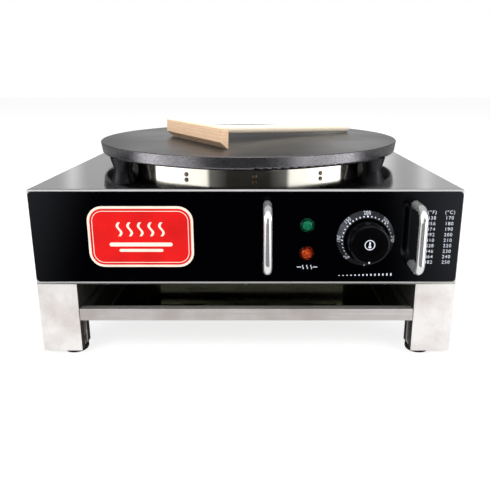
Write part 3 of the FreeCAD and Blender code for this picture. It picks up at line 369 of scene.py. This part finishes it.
def noise(made, scale, detail, turn=0.0, stretch=(1.0, 1.0, 1.0), rough=0.5):
    """A noise texture: scale is how fine it is for each metre."""
    texture = made.node_tree.nodes.new("ShaderNodeTexNoise")
    texture.inputs["Scale"].default_value = scale
    texture.inputs["Detail"].default_value = detail
    texture.inputs["Roughness"].default_value = rough
    made.node_tree.links.new(place(made, turn, stretch), texture.inputs["Vector"])
    return texture.outputs["Fac"]


def wave(made, kind, vector, scale, distortion, detail):
    """A wave texture along or round Z, and its node for further settings."""
    texture = made.node_tree.nodes.new("ShaderNodeTexWave")
    texture.wave_type = kind
    texture.rings_direction = "Z"
    texture.bands_direction = "Z"
    texture.inputs["Scale"].default_value = scale
    texture.inputs["Distortion"].default_value = distortion
    texture.inputs["Detail"].default_value = detail
    made.node_tree.links.new(vector, texture.inputs["Vector"])
    return texture


def ranged(made, value, span, to):
    """Carries a value from one range to another, held at the ends."""
    node = made.node_tree.nodes.new("ShaderNodeMapRange")
    node.inputs["From Min"].default_value, node.inputs["From Max"].default_value = span
    node.inputs["To Min"].default_value, node.inputs["To Max"].default_value = to
    made.node_tree.links.new(value, node.inputs["Value"])
    return node.outputs["Result"]


def ramp(made, value, stops):
    """A colour ramp; stops are (place, colour)."""
    node = made.node_tree.nodes.new("ShaderNodeValToRGB")
    elements = node.color_ramp.elements
    while len(elements) < len(stops):
        elements.new(0.5)
    for element, (where, color) in zip(elements, stops):
        element.position = where
        element.color = (*color, 1.0)
    made.node_tree.links.new(value, node.inputs["Fac"])
    return node.outputs["Color"]


def mixed(made, share, first, second, how="MIX"):
    """Blends two colours by a share; each is a colour or a socket."""
    node = made.node_tree.nodes.new("ShaderNodeMix")
    node.data_type = "RGBA"
    node.blend_type = how
    for name, value in (("Factor", share), ("A", first), ("B", second)):
        socket = [s for s in node.inputs if s.name == name and s.enabled][0]
        if isinstance(value, bpy.types.NodeSocket):
            made.node_tree.links.new(value, socket)
        elif name == "Factor":
            socket.default_value = value
        else:
            socket.default_value = (*value, 1.0)
    return [s for s in node.outputs if s.enabled][0]


def bump(made, height, strength, depth, under=None):
    """A bump, which may lie over another one."""
    node = made.node_tree.nodes.new("ShaderNodeBump")
    node.inputs["Strength"].default_value = strength
    node.inputs["Distance"].default_value = depth
    made.node_tree.links.new(height, node.inputs["Height"])
    if under:
        made.node_tree.links.new(under, node.inputs["Normal"])
    return node.outputs["Normal"]


def scaled_color(color, share):
    return [share * c for c in color]


# Materials


finished = {}


def finish(name):
    """A plain finish of the table, made when it is first asked for."""
    if name not in finished:
        finished[name] = make_finish(name, FINISHES[name])
    return finished[name]


def make_finish(name, values):
    low, high = values["rough"]
    made = new_material(
        name, values["color"], values.get("metallic", 0.0), (low + high) / 2, values.get("specular", 0.5)
    )
    if "tint" in values:
        shader_of(made).inputs["Specular Tint"].default_value = values["tint"]
    if "wear" in values:
        scale, detail = values["wear"]
        worn = noise(made, scale, detail, stretch=values.get("wear_run", (1, 1, 1)))
        feed(made, "Roughness", ranged(made, worn, NOISE_SPAN, (low, high)))
    if "mottle" in values:
        scale, detail, stops = values["mottle"]
        feed(made, "Base Color", ramp(made, noise(made, scale, detail), stops))
    if "grain" in values:
        scale, detail, strength, depth = values["grain"]
        feed(made, "Normal", bump(made, noise(made, scale, detail), strength, depth))
    return made


def polished_steel(name, color, smooth, worn):
    """Mirror polished stainless sheet: slow waves in the reflection and faint wiping marks."""
    made = new_material(name, color, metallic=1.0, roughness=worn)
    patches = noise(made, scale=14, detail=5)
    feed(made, "Roughness", ranged(made, patches, (0.35, 0.7), (smooth, worn)))
    waves = bump(made, noise(made, scale=5, detail=1), strength=0.08, depth=2 * MM)
    wiping = noise(made, scale=900, detail=2, stretch=(0.05, 1, 1))
    feed(made, "Normal", bump(made, wiping, strength=0.05, depth=0.05 * MM, under=waves))
    return made


def brushed_steel(name, stretch, metal, streak_share, color):
    """Stainless with fine grinding lines and faint stains; stretch is small along the lines."""
    made = new_material(name, color, metallic=metal, roughness=0.42)
    lines = noise(made, scale=1500, detail=4, stretch=stretch)
    coarse_lines = noise(made, scale=420, detail=3, stretch=stretch)
    clouds = noise(made, scale=26, detail=5, rough=0.6)
    streaks = ranged(made, coarse_lines, (0.35, 0.65), (0.0, streak_share))
    stains = ranged(made, clouds, (0.4, 0.66), (0.0, 1.0))
    stained = [c * share for c, share in zip(color, STAIN)]
    streaked = mixed(made, streaks, color, stained)
    feed(made, "Base Color", mixed(made, stains, streaked, stained))
    feed(made, "Roughness", ranged(made, lines, NOISE_SPAN, (0.38, 0.5)))
    feed(made, "Normal", bump(made, lines, strength=0.05, depth=0.05 * MM))
    return made


def cast_plate(name, smooth, rough, light):
    """Non-stick coating over casting, with a fine light and dark speckle."""
    made = new_material(name, light, metallic=0.95, roughness=rough)
    speckle = noise(made, scale=1 / SPECKLE, detail=0)
    dark = scaled_color(light, 0.75)
    bright = scaled_color(light, 1.4)
    feed(made, "Base Color", ramp(made, speckle, ((0.36, dark), (0.5, light), (0.66, bright))))
    worn = noise(made, scale=60, detail=3)
    feed(made, "Roughness", ranged(made, worn, NOISE_SPAN, (rough, smooth)))
    return made


def griddle_top():
    """The coated top: smooth, with faint turned rings and a cloudy gloss."""
    made = new_material("griddle_top", (0.036, 0.036, 0.036), metallic=0.3, roughness=0.36)
    tree = made.node_tree
    low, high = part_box("griddle_plate")
    centre = tree.nodes.new("ShaderNodeMapping")
    centre.inputs["Location"].default_value = (0, -(low.y + high.y) / 2, 0)
    coordinates = tree.nodes.new("ShaderNodeTexCoord")
    tree.links.new(coordinates.outputs["Object"], centre.inputs["Vector"])
    rings = wave(made, "RINGS", centre.outputs["Vector"], scale=60, distortion=1.5, detail=2)
    cloud = noise(made, scale=12, detail=4)
    tone = ramp(made, cloud, ((0.3, (0.03, 0.03, 0.031)), (0.7, (0.042, 0.041, 0.04))))
    feed(made, "Base Color", tone)
    feed(made, "Roughness", ranged(made, cloud, NOISE_SPAN, (0.31, 0.4)))
    turned = bump(made, rings.outputs["Fac"], strength=0.04, depth=0.05 * MM)
    grain = noise(made, scale=1400, detail=2)
    feed(made, "Normal", bump(made, grain, strength=0.12, depth=0.05 * MM, under=turned))
    return made


def lens(name, color, bright):
    """Tinted lens with moulded cells, with painted glints: each cell's colour is lighter in its middle and
    the lens's own tint at its edges.
    """
    made = new_material(name, color, metallic=0.0, roughness=0.2, specular=0.15)
    cells = made.node_tree.nodes.new("ShaderNodeTexVoronoi")
    cells.inputs["Scale"].default_value = LENS_CELLS
    made.node_tree.links.new(place(made), cells.inputs["Vector"])
    # The lighter colour in each cell's middle is a painted glint.
    share = ranged(made, cells.outputs["Distance"], (0.1, 0.7), (0.0, 1.0))
    feed(made, "Base Color", mixed(made, share, bright, color))
    feed(made, "Normal", bump(made, cells.outputs["Distance"], strength=0.7, depth=0.5 * MM))
    return made


def enamel(name, color):
    """Badge enamel: a smooth colour with a slight cloudiness under the gloss."""
    made = new_material(name, color, metallic=0.0, roughness=0.3, specular=0.2)
    cloud = noise(made, scale=40, detail=3)
    deep = scaled_color(color, 0.82)
    feed(made, "Base Color", ramp(made, cloud, ((0.3, deep), (0.7, color))))
    return made


def beech(name, along_x, light, dark, fleck_share):
    """Steamed beech: growth rings cut lengthways, and short dark flecks along the grain."""
    made = new_material(name, light, metallic=0.0, roughness=0.55, specular=0.3)
    run = along_grain(0.04, along_x)
    turn = -SPREADER_TURN
    rings = wave(made, "BANDS", place(made, turn, run), scale=85, distortion=4.0, detail=3)
    rings.inputs["Detail Scale"].default_value = 1.2
    tone = ramp(made, rings.outputs["Fac"], ((0.0, dark), (0.45, light), (1.0, light)))
    shade = noise(made, scale=30, detail=3, turn=turn, stretch=run)
    cloud = ramp(made, shade, ((0.3, (0.93, 0.9, 0.88)), (0.7, (1, 1, 1))))
    toned = mixed(made, 1.0, tone, cloud, "MULTIPLY")
    short = along_grain(0.22, along_x)
    flecks = noise(made, scale=420, detail=2, turn=turn, stretch=short, rough=0.4)
    fleck = ranged(made, flecks, (0.66, 0.74), (0.0, fleck_share))
    feed(made, "Base Color", mixed(made, fleck, toned, scaled_color(dark, 0.45)))
    fibres = noise(made, scale=500, detail=3, turn=turn, stretch=run)
    feed(made, "Normal", bump(made, fibres, strength=0.1, depth=0.1 * MM))
    return made


def along_grain(share, along_x):
    """A stretch that draws a texture out along the wood's grain; a smaller share draws it longer."""
    return (share, 1.0, 1.0) if along_x else (1.0, share, 1.0)


# Finishes on the CAD's nodes


def nodes_like(*starts):
    return [name for name in frame["nodes"] if name.startswith(starts)]


def dress(names, made):
    """Gives CAD nodes a material and smooth shading up to sharp corners."""
    for name in names:
        node = frame["nodes"][name]
        node.data.materials.clear()
        node.data.materials.append(made)
        node.data.set_sharp_from_angle(angle=math.radians(SHARP_CORNER))


def dress_housing():
    fasteners = [n for n in frame["nodes"] if n.endswith(("_screws", "_bolts", "_rivets"))]
    sheet = polished_steel("polished_steel", (0.56, 0.56, 0.575), smooth=0.06, worn=0.14)
    upright = brushed_steel("brushed_upright", (1, 1, 0.02), 0.6, 0.1, (0.93, 0.905, 0.89))
    dress(("housing_shell", "back_panel"), sheet)
    dress(("front_fascia",), finish("black_panel"))
    dress(nodes_like("leg_front", "leg_rear"), upright)
    dress(nodes_like("rubber_foot"), finish("foot_rubber"))
    dress(fasteners, finish("zinc_screws"))


def dress_tray():
    # A darker, yellower copy of the polished steel, as painted shade, for the tray pan and the bottom cover
    # under the housing.
    painted_shade_sheet = polished_steel("shaded_polished_steel", (0.5, 0.5, 0.44), smooth=0.03, worn=0.07)
    along = brushed_steel("brushed_along", (0.02, 1, 1), 0.85, 0.6, (0.72, 0.69, 0.68))
    dress(("tray_pan", "bottom_cover"), painted_shade_sheet)
    dress(("tray_front",), along)
    # The rails get near-black steel as painted shade.
    dress(nodes_like("tray_rail"), finish("rail_painted_shade"))


def dress_griddle():
    side = cast_plate("griddle_side", smooth=0.24, rough=0.3, light=(0.22, 0.213, 0.225))
    feet = cast_plate("cast_feet", smooth=0.36, rough=0.5, light=(0.05, 0.048, 0.052))
    ring = polished_steel("ring_steel", (0.62, 0.6, 0.53), smooth=0.05, worn=0.1)
    dress(("griddle_plate",), side)
    dress(("plate_foot_left", "plate_foot_right", "plate_foot_rear"), feet)
    dress(("heat_ring",), ring)
    dress(("heat_ring_screws",), finish("tinted_screws"))


def dress_controls():
    dress(("handle_left", "handle_right"), finish("chrome_bar"))
    dress(("dial_bezel",), finish("spun_bezel"))
    dress(("thermostat_knob",), finish("knob_body"))
    dress(("knob_cap",), finish("knob_cap"))
    dress(("knob_pointer",), finish("white_print"))
    # The lamp bezels get dark lens colours: the tint stands for the lens's coloured outer ring and painted
    # coloured light picked up from the lamps, and the lighter cell middles are painted glints.
    dress(("lamp_bezel_green",), lens("green_rim_and_glints", (0.0, 0.004, 0.002), (0.0, 0.05, 0.024)))
    dress(("lamp_bezel_amber",), lens("amber_rim_and_glints", (0.012, 0.001, 0.0), (0.16, 0.012, 0.0)))
    dress(("lamp_lens_green",), lens("green_lens", (0.0, 0.045, 0.02), (0.0, 0.2, 0.09)))
    dress(("lamp_lens_amber",), lens("amber_lens", (0.22, 0.012, 0.0), (0.62, 0.09, 0.003)))


def dress_inside():
    plain = ("heater_pan", "heat_reflector", "element_clamp", "clamp_stud", "sensor_clip")
    mouldings = ("thermostat_body", "lamp_body", "high_limit", "cable_gland", "gland_locknut")
    dress(plain, finish("dull_steel"))
    dress(nodes_like(*mouldings), finish("black_moulding"))
    dress(("insulation_disc",), finish("insulation_wool"))
    dress(nodes_like("heating_element", "element_terminals"), finish("element_tube"))
    dress(("thermostat_sensor",), finish("copper_tube"))
    dress(("thermostat_shaft",), finish("zinc_screws"))
    dress(("terminal_block",), finish("ceramic"))


def dress_spreader():
    head = beech("beech_head", False, (0.97, 0.69, 0.475), (0.9, 0.61, 0.4), fleck_share=0.6)
    dowel = beech("beech_dowel", True, (0.98, 0.88, 0.72), (0.96, 0.83, 0.65), fleck_share=0.2)
    dress(("spreader_head",), head)
    dress(("spreader_dowel",), dowel)


def coat(name, made, chosen):
    """Gives one more material to the faces of a CAD node that are chosen."""
    data = frame["nodes"][name].data
    data.materials.append(made)
    for face in data.polygons:
        if chosen(face):
            face.material_index = len(data.materials) - 1


def coat_faces():
    """Near-black painted shade on the legs' inward faces, a ground line round the panel, near-black painted
    shade on the tray pan's beads and side faces, and the griddle's top.
    """
    # Each leg's inward faces get near-black steel as painted shade.
    for name in nodes_like("leg_front", "leg_rear"):
        low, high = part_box(name)
        inward = -1.0 if low.x + high.x > 0 else 1.0
        coat(name, finish("leg_inside_painted_shade"), lambda face: face.normal.x * inward > LOOKS_ALONG)
    coat("housing_shell", finish("ground_sheet"), is_front)
    # The tray pan's beads and side faces get near-black steel as painted shade.
    coat("tray_pan", finish("tray_bead_painted_shade"), is_bead_or_side)
    coat("griddle_plate", griddle_top(), lambda face: face.normal.z > LOOKS_LEVEL)
    coat("griddle_plate", finish("griddle_under"), lambda face: face.normal.z < -LOOKS_LEVEL)


def is_front(face):
    return face.normal.y < -LOOKS_FORWARD and face.center.y < PANEL_BACK + FRONT_DEPTH


def is_bead_or_side(face):
    low, high = BEAD_UPWARD
    is_bead = low < abs(face.normal.z) < high and abs(face.normal.y) < BEAD_FORWARD
    return is_bead or abs(face.normal.x) > LOOKS_ALONG


# Pieces of the scene


def add_object(name, data, body, made):
    piece = bpy.data.objects.new(name, data)
    bpy.context.scene.collection.objects.link(piece)
    data.materials.clear()
    data.materials.append(made)
    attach(piece, body)
    return piece


def tray_side_walls():
    """Sheet between the front and rear legs, from the tray's rails up to the housing, in near-black steel
    as painted shade.
    """
    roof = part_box("housing_shell")[0].z
    for side in ("left", "right"):
        low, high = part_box("tray_rail_" + side)
        outer = low.x if side == "left" else high.x
        inward = 1 if side == "left" else -1
        across = sorted((outer + inward * WALL_GAP, outer + inward * WALL_SHEET))
        upward = (high.z + WALL_GAP, roof - WALL_GAP)
        corners = [(x, y, z) for x in across for y in (low.y, high.y) for z in upward]
        data = bpy.data.meshes.new("tray_side_wall_" + side)
        data.from_pydata(corners, [], BOX_FACES)
        piece = add_object("tray_side_wall_" + side, data, "housing", finish("side_wall_painted_shade"))


def add_print(name, data, body):
    piece = add_object(name, data, body, finish("white_print"))


def to_panel(data, x, down):
    """Moves a mesh drawn round its own middle onto the panel, by its place under the deck's top."""
    data.transform(Matrix.Translation((x, PANEL_FACE, DECK_TOP - down)))
    return data


# Outlines: closed runs of (right, up) points


def on_circle(radius, degrees, x=0.0, z=0.0):
    turn = math.radians(degrees)
    return (x + radius * math.cos(turn), z + radius * math.sin(turn))


def disc(radius, x=0.0, z=0.0, count=DISC_SIDES):
    return [on_circle(radius, 360 * i / count, x, z) for i in range(count)]


def rounded_rectangle(width, height, corner, x=0.0, z=0.0, steps=CORNER_STEPS):
    points = []
    for side_x, side_z, first in ((1, 1, 0), (-1, 1, 90), (-1, -1, 180), (1, -1, 270)):
        middle_x = x + side_x * (width / 2 - corner)
        middle_z = z + side_z * (height / 2 - corner)
        for i in range(steps + 1):
            points.append(on_circle(corner, first + 90 * i / steps, middle_x, middle_z))
    return points


def between(outer, inner):
    """The band between two outlines of as many points, as one small outline for each step."""
    count = len(outer)
    outlines = []
    for i in range(count):
        j = (i + 1) % count
        outlines.append([outer[i], outer[j], inner[j], inner[i]])
    return outlines


def wave_outline(x, height, swing, line):
    """One rising heat wave: an upright S of even width."""
    left, right = [], []
    for i in range(WAVE_STEPS + 1):
        share = i / WAVE_STEPS
        z = (share - 0.5) * height
        middle = x + swing * math.sin(2 * math.pi * share)
        left.append((middle - line / 2, z))
        right.append((middle + line / 2, z))
    return right + left[::-1]


def mesh_from_shapes(name, shapes, thickness):
    """A flat mesh of closed outlines, given a thickness towards the front."""
    vertices, faces = [], []
    for outline in shapes:
        start = len(vertices)
        count = len(outline)
        vertices += [(x, 0.0, z) for x, z in outline]
        vertices += [(x, -thickness, z) for x, z in outline]
        faces.append([start + i for i in reversed(range(count))])
        faces.append([start + count + i for i in range(count)])
        for i in range(count):
            j = (i + 1) % count
            faces.append((start + i, start + j, start + count + j, start + count + i))
    data = bpy.data.meshes.new(name)
    data.from_pydata(vertices, [], faces)
    data.validate()
    return data


def text_mesh(words, height):
    """Text as a thin mesh in the XZ plane, centred on its middle, reading from -Y."""
    size = height / FONT_DIGIT_SHARE
    curve = bpy.data.curves.new("words", "FONT")
    curve.body = words
    curve.size = size
    curve.align_x = "CENTER"
    curve.align_y = "CENTER"
    curve.extrude = PRINT_THICKNESS / 2
    curve.resolution_u = FONT_STEPS
    curve.offset = -FONT_THINNING * size
    curve.space_character = FONT_SPACING
    holder = bpy.data.objects.new("words", curve)
    bpy.context.scene.collection.objects.link(holder)
    bpy.context.view_layer.update()
    graph = bpy.context.evaluated_depsgraph_get()
    data = bpy.data.meshes.new_from_object(holder.evaluated_get(graph))
    bpy.data.objects.remove(holder)
    data.transform(Matrix.Rotation(math.radians(90), 4, "X"))
    return data


def joined(name, parts):
    """Joins (mesh, matrix) pairs into one mesh."""
    vertices, faces = [], []
    for data, matrix in parts:
        start = len(vertices)
        vertices += [tuple(matrix @ v.co) for v in data.vertices]
        faces += [[start + i for i in face.vertices] for face in data.polygons]
    made = bpy.data.meshes.new(name)
    made.from_pydata(vertices, [], faces)
    return made


# Marks on the dial and the knob


def cone_height(radius):
    """How far the dial's scale stands off the panel at a radius."""
    share = (SCALE_OUTER - radius) / (SCALE_OUTER - SCALE_INNER)
    share = min(max(share, 0.0), 1.0)
    return SCALE_OUTER_HEIGHT + share * (SCALE_INNER_HEIGHT - SCALE_OUTER_HEIGHT)


def print_on_scale(name, data):
    """Lays flat marks, drawn about the dial's middle, on the cone of the dial's scale."""
    for vertex in data.vertices:
        radius = math.hypot(vertex.co.x, vertex.co.z)
        lift = cone_height(radius) - vertex.co.y
        vertex.co = (DIAL_X + vertex.co.x, PANEL_FACE - lift, DIAL_Z + vertex.co.z)
    add_print(name, data, "housing")


def scale_numbers():
    parts = []
    for number, degrees in SCALE_STEPS:
        x, z = on_circle(SCALE_NUMBER_RING, degrees)
        spin = Matrix.Rotation(math.radians(90 - degrees), 4, "Y")
        data = text_mesh(str(number), SCALE_NUMBER_HEIGHT)
        parts.append((data, Matrix.Translation((x, 0, z)) @ spin))
    print_on_scale("scale_numbers", joined("scale_numbers", parts))


def scale_dots():
    """A dot at each step, larger at the numbers, and one at the off position."""
    main = [degrees for _, degrees in SCALE_STEPS]
    outlines = []
    for degrees in range(0, SCALE_SPAN + 1, SCALE_DOT_STEP):
        size = SCALE_MAIN_DOT if degrees in main else SCALE_DOT
        outlines.append(disc(size, *on_circle(SCALE_DOT_RING, degrees), DOT_SIDES))
    outlines.append(disc(SCALE_MAIN_DOT, 0.0, -OFF_DOT_RING, DOT_SIDES))
    print_on_scale("scale_dot_marks", mesh_from_shapes("scale_dots", outlines, PRINT_THICKNESS))


def knob_mark():
    """A thermometer in a ring, printed on the knob's cap."""
    inner = disc(KNOB_MARK_RADIUS - KNOB_MARK_LINE, count=RING_SIDES)
    outlines = between(inner, disc(KNOB_MARK_RADIUS, count=RING_SIDES))
    outlines.append(disc(BULB_RADIUS, 0, -BULB_DOWN))
    outlines.append(rounded_rectangle(STEM_WIDTH, STEM_HEIGHT, STEM_WIDTH / 2, 0.0, STEM_UP))
    data = mesh_from_shapes("knob_mark", outlines, PRINT_THICKNESS)
    data.transform(Matrix.Translation((DIAL_X, KNOB_FACE, DIAL_Z)))
    add_print("knob_mark", data, "knob")


# Marks on the panel


def temperature_table():
    """Two columns of temperatures, with the units at the top."""
    rows = [TABLE_UNITS]
    for celsius in TABLE_CELSIUS:
        rows.append((str(round(celsius * 1.8 + 32)), str(celsius)))
    parts = []
    for row, words in enumerate(rows):
        for column, text in zip(TABLE_COLUMNS, words):
            at = Matrix.Translation((column, 0, -row * TABLE_PITCH))
            parts.append((text_mesh(text, TABLE_NUMBER_HEIGHT), at))
    data = to_panel(joined("temperature_table", parts), 0, TABLE_TOP_DOWN)
    add_print("temperature_table", data, "housing")


def heat_marks():
    outlines = []
    for i in (-1, 0, 1):
        outlines.append(wave_outline(i * HEAT_WAVE_STEP, HEAT_WAVE_HEIGHT, HEAT_WAVE_SWING, HEAT_LINE))
    for side in (-1, 1):
        outlines.append(rounded_rectangle(HEAT_BAR_WIDTH, HEAT_LINE, HEAT_LINE / 2, side * HEAT_BAR_OUT))
    data = mesh_from_shapes("heat_marks", outlines, PRINT_THICKNESS)
    add_print("heat_marks", to_panel(data, *HEAT_MARK), "housing")


def wedge_mark():
    """Low to high: bars that grow to the right."""
    outlines = []
    for i in range(WEDGE_BARS):
        share = i / (WEDGE_BARS - 1)
        x = (share - 0.5) * WEDGE_WIDTH
        height = WEDGE_HEIGHT * (WEDGE_LEAST + (1 - WEDGE_LEAST) * share)
        z = (height - WEDGE_HEIGHT) / 2
        outlines.append(rounded_rectangle(WEDGE_BAR, height, WEDGE_CORNER, x, z, WEDGE_CORNER_STEPS))
    data = mesh_from_shapes("wedge_mark", outlines, PRINT_THICKNESS)
    add_print("wedge_mark", to_panel(data, *WEDGE_MARK), "housing")


def badge_plane(inset):
    """The badge's outline, drawn in by an inset."""
    width, height = BADGE_SIZE
    return rounded_rectangle(width - 2 * inset, height - 2 * inset, BADGE_CORNER - inset)


def badge():
    """A plain enamel plate: red, with a cream border, and heat rising over a griddle."""
    line_at = BADGE_BORDER + BADGE_LINE_GAP
    marks = between(badge_plane(line_at), badge_plane(line_at + BADGE_LINE))
    for i in range(BADGE_WAVES):
        x = (i - BADGE_WAVES // 2) * BADGE_WAVE_STEP
        outline = wave_outline(x, BADGE_WAVE_HEIGHT, BADGE_WAVE_SWING, BADGE_WAVE_LINE)
        marks.append([(right, up + BADGE_WAVE_UP) for right, up in outline])
    for width, height, down in BADGE_BARS:
        marks.append(rounded_rectangle(width, height, height / 2, 0, -down))
    cream = enamel("badge_cream", BADGE_CREAM)
    red = enamel("badge_red", BADGE_RED)
    for name, shapes, rise, made in (
        ("badge_plate", [badge_plane(0.0)], 0.0, cream),
        ("badge_field", [badge_plane(BADGE_BORDER)], BADGE_FIELD_RISE, red),
        ("badge_marks", marks, BADGE_MARK_RISE, cream),
    ):
        data = mesh_from_shapes(name, shapes, BADGE_THICKNESS + rise)
        add_object(name, to_panel(data, *BADGE_MIDDLE), "housing", made)


# Studio


class Nodes:
    """Adds nodes to a tree; a value may be a number or another node's socket."""

    def __init__(self, tree):
        self.tree = tree

    def add(self, kind, **values):
        item = self.tree.nodes.new(kind)
        for name, value in values.items():
            setattr(item, name, value)
        return item

    def put(self, socket, value):
        if isinstance(value, bpy.types.NodeSocket):
            self.tree.links.new(value, socket)
        else:
            socket.default_value = value

    def math(self, operation, first, second=0.0):
        item = self.add("ShaderNodeMath", operation=operation)
        self.put(item.inputs[0], first)
        self.put(item.inputs[1], second)
        return item.outputs[0]

    def step(self, value, span, low=0.0, high=1.0, how="SMOOTHSTEP"):
        """low before the span of the value, high after it."""
        item = self.add("ShaderNodeMapRange", interpolation_type=how)
        self.put(item.inputs["Value"], value)
        for name, number in zip(("From Min", "From Max", "To Min", "To Max"), (*span, low, high)):
            self.put(item.inputs[name], number)
        return item.outputs[0]

    def levels(self, value, stops):
        """A run of brightness levels over 0 to 1."""
        item = self.add("ShaderNodeValToRGB")
        self.put(item.inputs["Fac"], value)
        elements = item.color_ramp.elements
        while len(elements) < len(stops):
            elements.new(0.5)
        for element, (where, level) in zip(elements, stops):
            share = level / ROOM_BRIGHTEST
            element.position = where
            element.color = (share, share, share, 1.0)
        return self.math("MULTIPLY", item.outputs["Color"], ROOM_BRIGHTEST)

    def blend(self, share, first, second):
        """first where share is 0, second where it is 1."""
        keep = self.math("MULTIPLY", first, self.math("SUBTRACT", 1.0, share))
        return self.math("ADD", keep, self.math("MULTIPLY", second, share))

    def mix_shaders(self, share, first, second):
        item = self.add("ShaderNodeMixShader")
        for socket, value in zip(item.inputs, (share, first, second)):
            self.put(socket, value)
        return item.outputs[0]

    def diffuse(self, color):
        item = self.add("ShaderNodeBsdfDiffuse")
        self.put(item.inputs["Color"], color)
        return item.outputs[0]

    def glow(self, strength):
        item = self.add("ShaderNodeEmission")
        self.put(item.inputs["Strength"], strength)
        return item.outputs[0]

    def split(self, vector):
        item = self.add("ShaderNodeSeparateXYZ")
        self.put(item.inputs[0], vector)
        return item.outputs["X"], item.outputs["Y"], item.outputs["Z"]

    def sideways(self, x, y):
        """How far a direction turns away from straight ahead of the panel, as a slope."""
        ahead = self.math("MAXIMUM", self.math("MULTIPLY", y, -1.0), LEAST_AHEAD)
        return self.math("DIVIDE", self.math("ABSOLUTE", x), ahead)

    def seen_plainly(self, rays):
        return self.math("MAXIMUM", rays.outputs["Is Camera Ray"], rays.outputs["Is Transmission Ray"])


def world():
    """White to the camera. Metal sees bright sides, a dark opening ahead and a grey room behind."""
    made = bpy.data.worlds.new("studio")
    bpy.context.scene.world = made
    made.use_nodes = True
    made.node_tree.nodes.clear()
    nodes = Nodes(made.node_tree)
    x, y, z = nodes.split(nodes.add("ShaderNodeTexCoord").outputs["Generated"])
    slope = nodes.sideways(x, y)
    turned = nodes.math("DIVIDE", slope, nodes.math("ADD", slope, 1.0))
    ahead = nodes.levels(turned, ROOM_AHEAD)
    behind_stops = [((where + 1.0) / 2.0, level) for where, level in ROOM_BEHIND]
    behind = nodes.levels(nodes.step(x, (-1.0, 1.0), how="LINEAR"), behind_stops)
    walls = nodes.blend(nodes.step(y, ROOM_SEAM), ahead, behind)
    ceiling = nodes.blend(nodes.step(y, CEILING_SEAM), CEILING_AHEAD, CEILING_BEHIND)
    room = nodes.blend(nodes.step(z, CEILING_EDGE), walls, ceiling)
    rays = nodes.add("ShaderNodeLightPath")
    to_metal = nodes.math("MULTIPLY", rays.outputs["Is Glossy Ray"], room)
    to_dull = nodes.math("MULTIPLY", rays.outputs["Is Diffuse Ray"], ROOM_FOR_DULL)
    strength = nodes.math("MAXIMUM", nodes.seen_plainly(rays), to_metal)
    strength = nodes.math("MAXIMUM", strength, to_dull)
    background = nodes.add("ShaderNodeBackground")
    nodes.put(background.inputs["Color"], (1, 1, 1, 1))
    nodes.put(background.inputs["Strength"], strength)
    output = nodes.add("ShaderNodeOutputWorld")
    nodes.put(output.inputs["Surface"], background.outputs[0])


def floor_level(nodes):
    """How bright the floor is to metal: dark in the wedge ahead, plain near the object and behind."""
    x, y, _ = nodes.split(nodes.add("ShaderNodeTexCoord").outputs["Object"])
    ahead = nodes.math("MAXIMUM", nodes.math("SUBTRACT", WEDGE_POINT, y), LEAST_FLOOR_AHEAD)
    slope = nodes.math("DIVIDE", x, ahead)
    start, end, full = FLOOR_RIGHT
    right = nodes.step(slope, (start, end), FLOOR_DARK, full)
    start, end, full = FLOOR_LEFT
    left = nodes.step(slope, (-end, -start), full, FLOOR_DARK)
    level = nodes.math("MAXIMUM", right, left)
    level = nodes.blend(nodes.step(y, FLOOR_NEAR_EDGE), level, FLOOR_NEAR)
    return nodes.blend(nodes.step(y, FLOOR_BEHIND_EDGE), level, FLOOR_BEHIND)


def floor():
    """A white floor: it glows to the camera, takes a soft shadow, and is dark to metal ahead."""
    data = bpy.data.meshes.new("floor")
    reach = FLOOR_REACH
    corners = [(-reach, -reach, 0), (reach, -reach, 0), (reach, reach, 0), (-reach, reach, 0)]
    data.from_pydata(corners, [], [(0, 1, 2, 3)])
    piece = bpy.data.objects.new("floor", data)
    bpy.context.scene.collection.objects.link(piece)
    made = bpy.data.materials.new("floor_white")
    made.use_nodes = True
    made.node_tree.nodes.clear()
    nodes = Nodes(made.node_tree)
    rays = nodes.add("ShaderNodeLightPath")
    lit = nodes.add("ShaderNodeAddShader")
    nodes.put(lit.inputs[0], nodes.diffuse(FLOOR_SHADED))
    nodes.put(lit.inputs[1], nodes.glow(FLOOR_GLOW))
    to_metal = nodes.glow(floor_level(nodes))
    reflected = nodes.mix_shaders(rays.outputs["Is Glossy Ray"], nodes.diffuse(FLOOR_PLAIN), to_metal)
    seen = nodes.mix_shaders(nodes.seen_plainly(rays), reflected, lit.outputs[0])
    output = nodes.add("ShaderNodeOutputMaterial")
    nodes.put(output.inputs["Surface"], seen)
    data.materials.append(made)


def lamps():
    """Soft square lamps that light the object but don't show in metal."""
    for name, at, size, power in LAMPS:
        data = bpy.data.lights.new(name, "AREA")
        data.shape = "RECTANGLE"
        data.size = size
        data.size_y = size
        data.energy = power
        lamp = bpy.data.objects.new(name, data)
        bpy.context.scene.collection.objects.link(lamp)
        lamp.location = at
        aim = Vector(LAMP_AIM) - Vector(at)
        lamp.rotation_euler = aim.to_track_quat("-Z", "Y").to_euler()
        lamp.visible_glossy = False


def camera():
    data = bpy.data.cameras.new("camera")
    data.lens = CAMERA_LENS
    data.sensor_width = CAMERA_SENSOR
    data.shift_x, data.shift_y = CAMERA_SHIFT
    data.clip_start = CAMERA_NEAR
    piece = bpy.data.objects.new("camera", data)
    bpy.context.scene.collection.objects.link(piece)
    piece.location = CAMERA_AT
    piece.rotation_euler = (math.radians(CAMERA_TILT), 0, 0)
    bpy.context.scene.camera = piece


dress_housing()
dress_tray()
dress_griddle()
dress_controls()
dress_inside()
dress_spreader()
coat_faces()
tray_side_walls()
scale_numbers()
scale_dots()
knob_mark()
temperature_table()
heat_marks()
wedge_mark()
badge()

bpy.context.scene.view_settings.view_transform = "Standard"
world()
floor()
lamps()
camera()
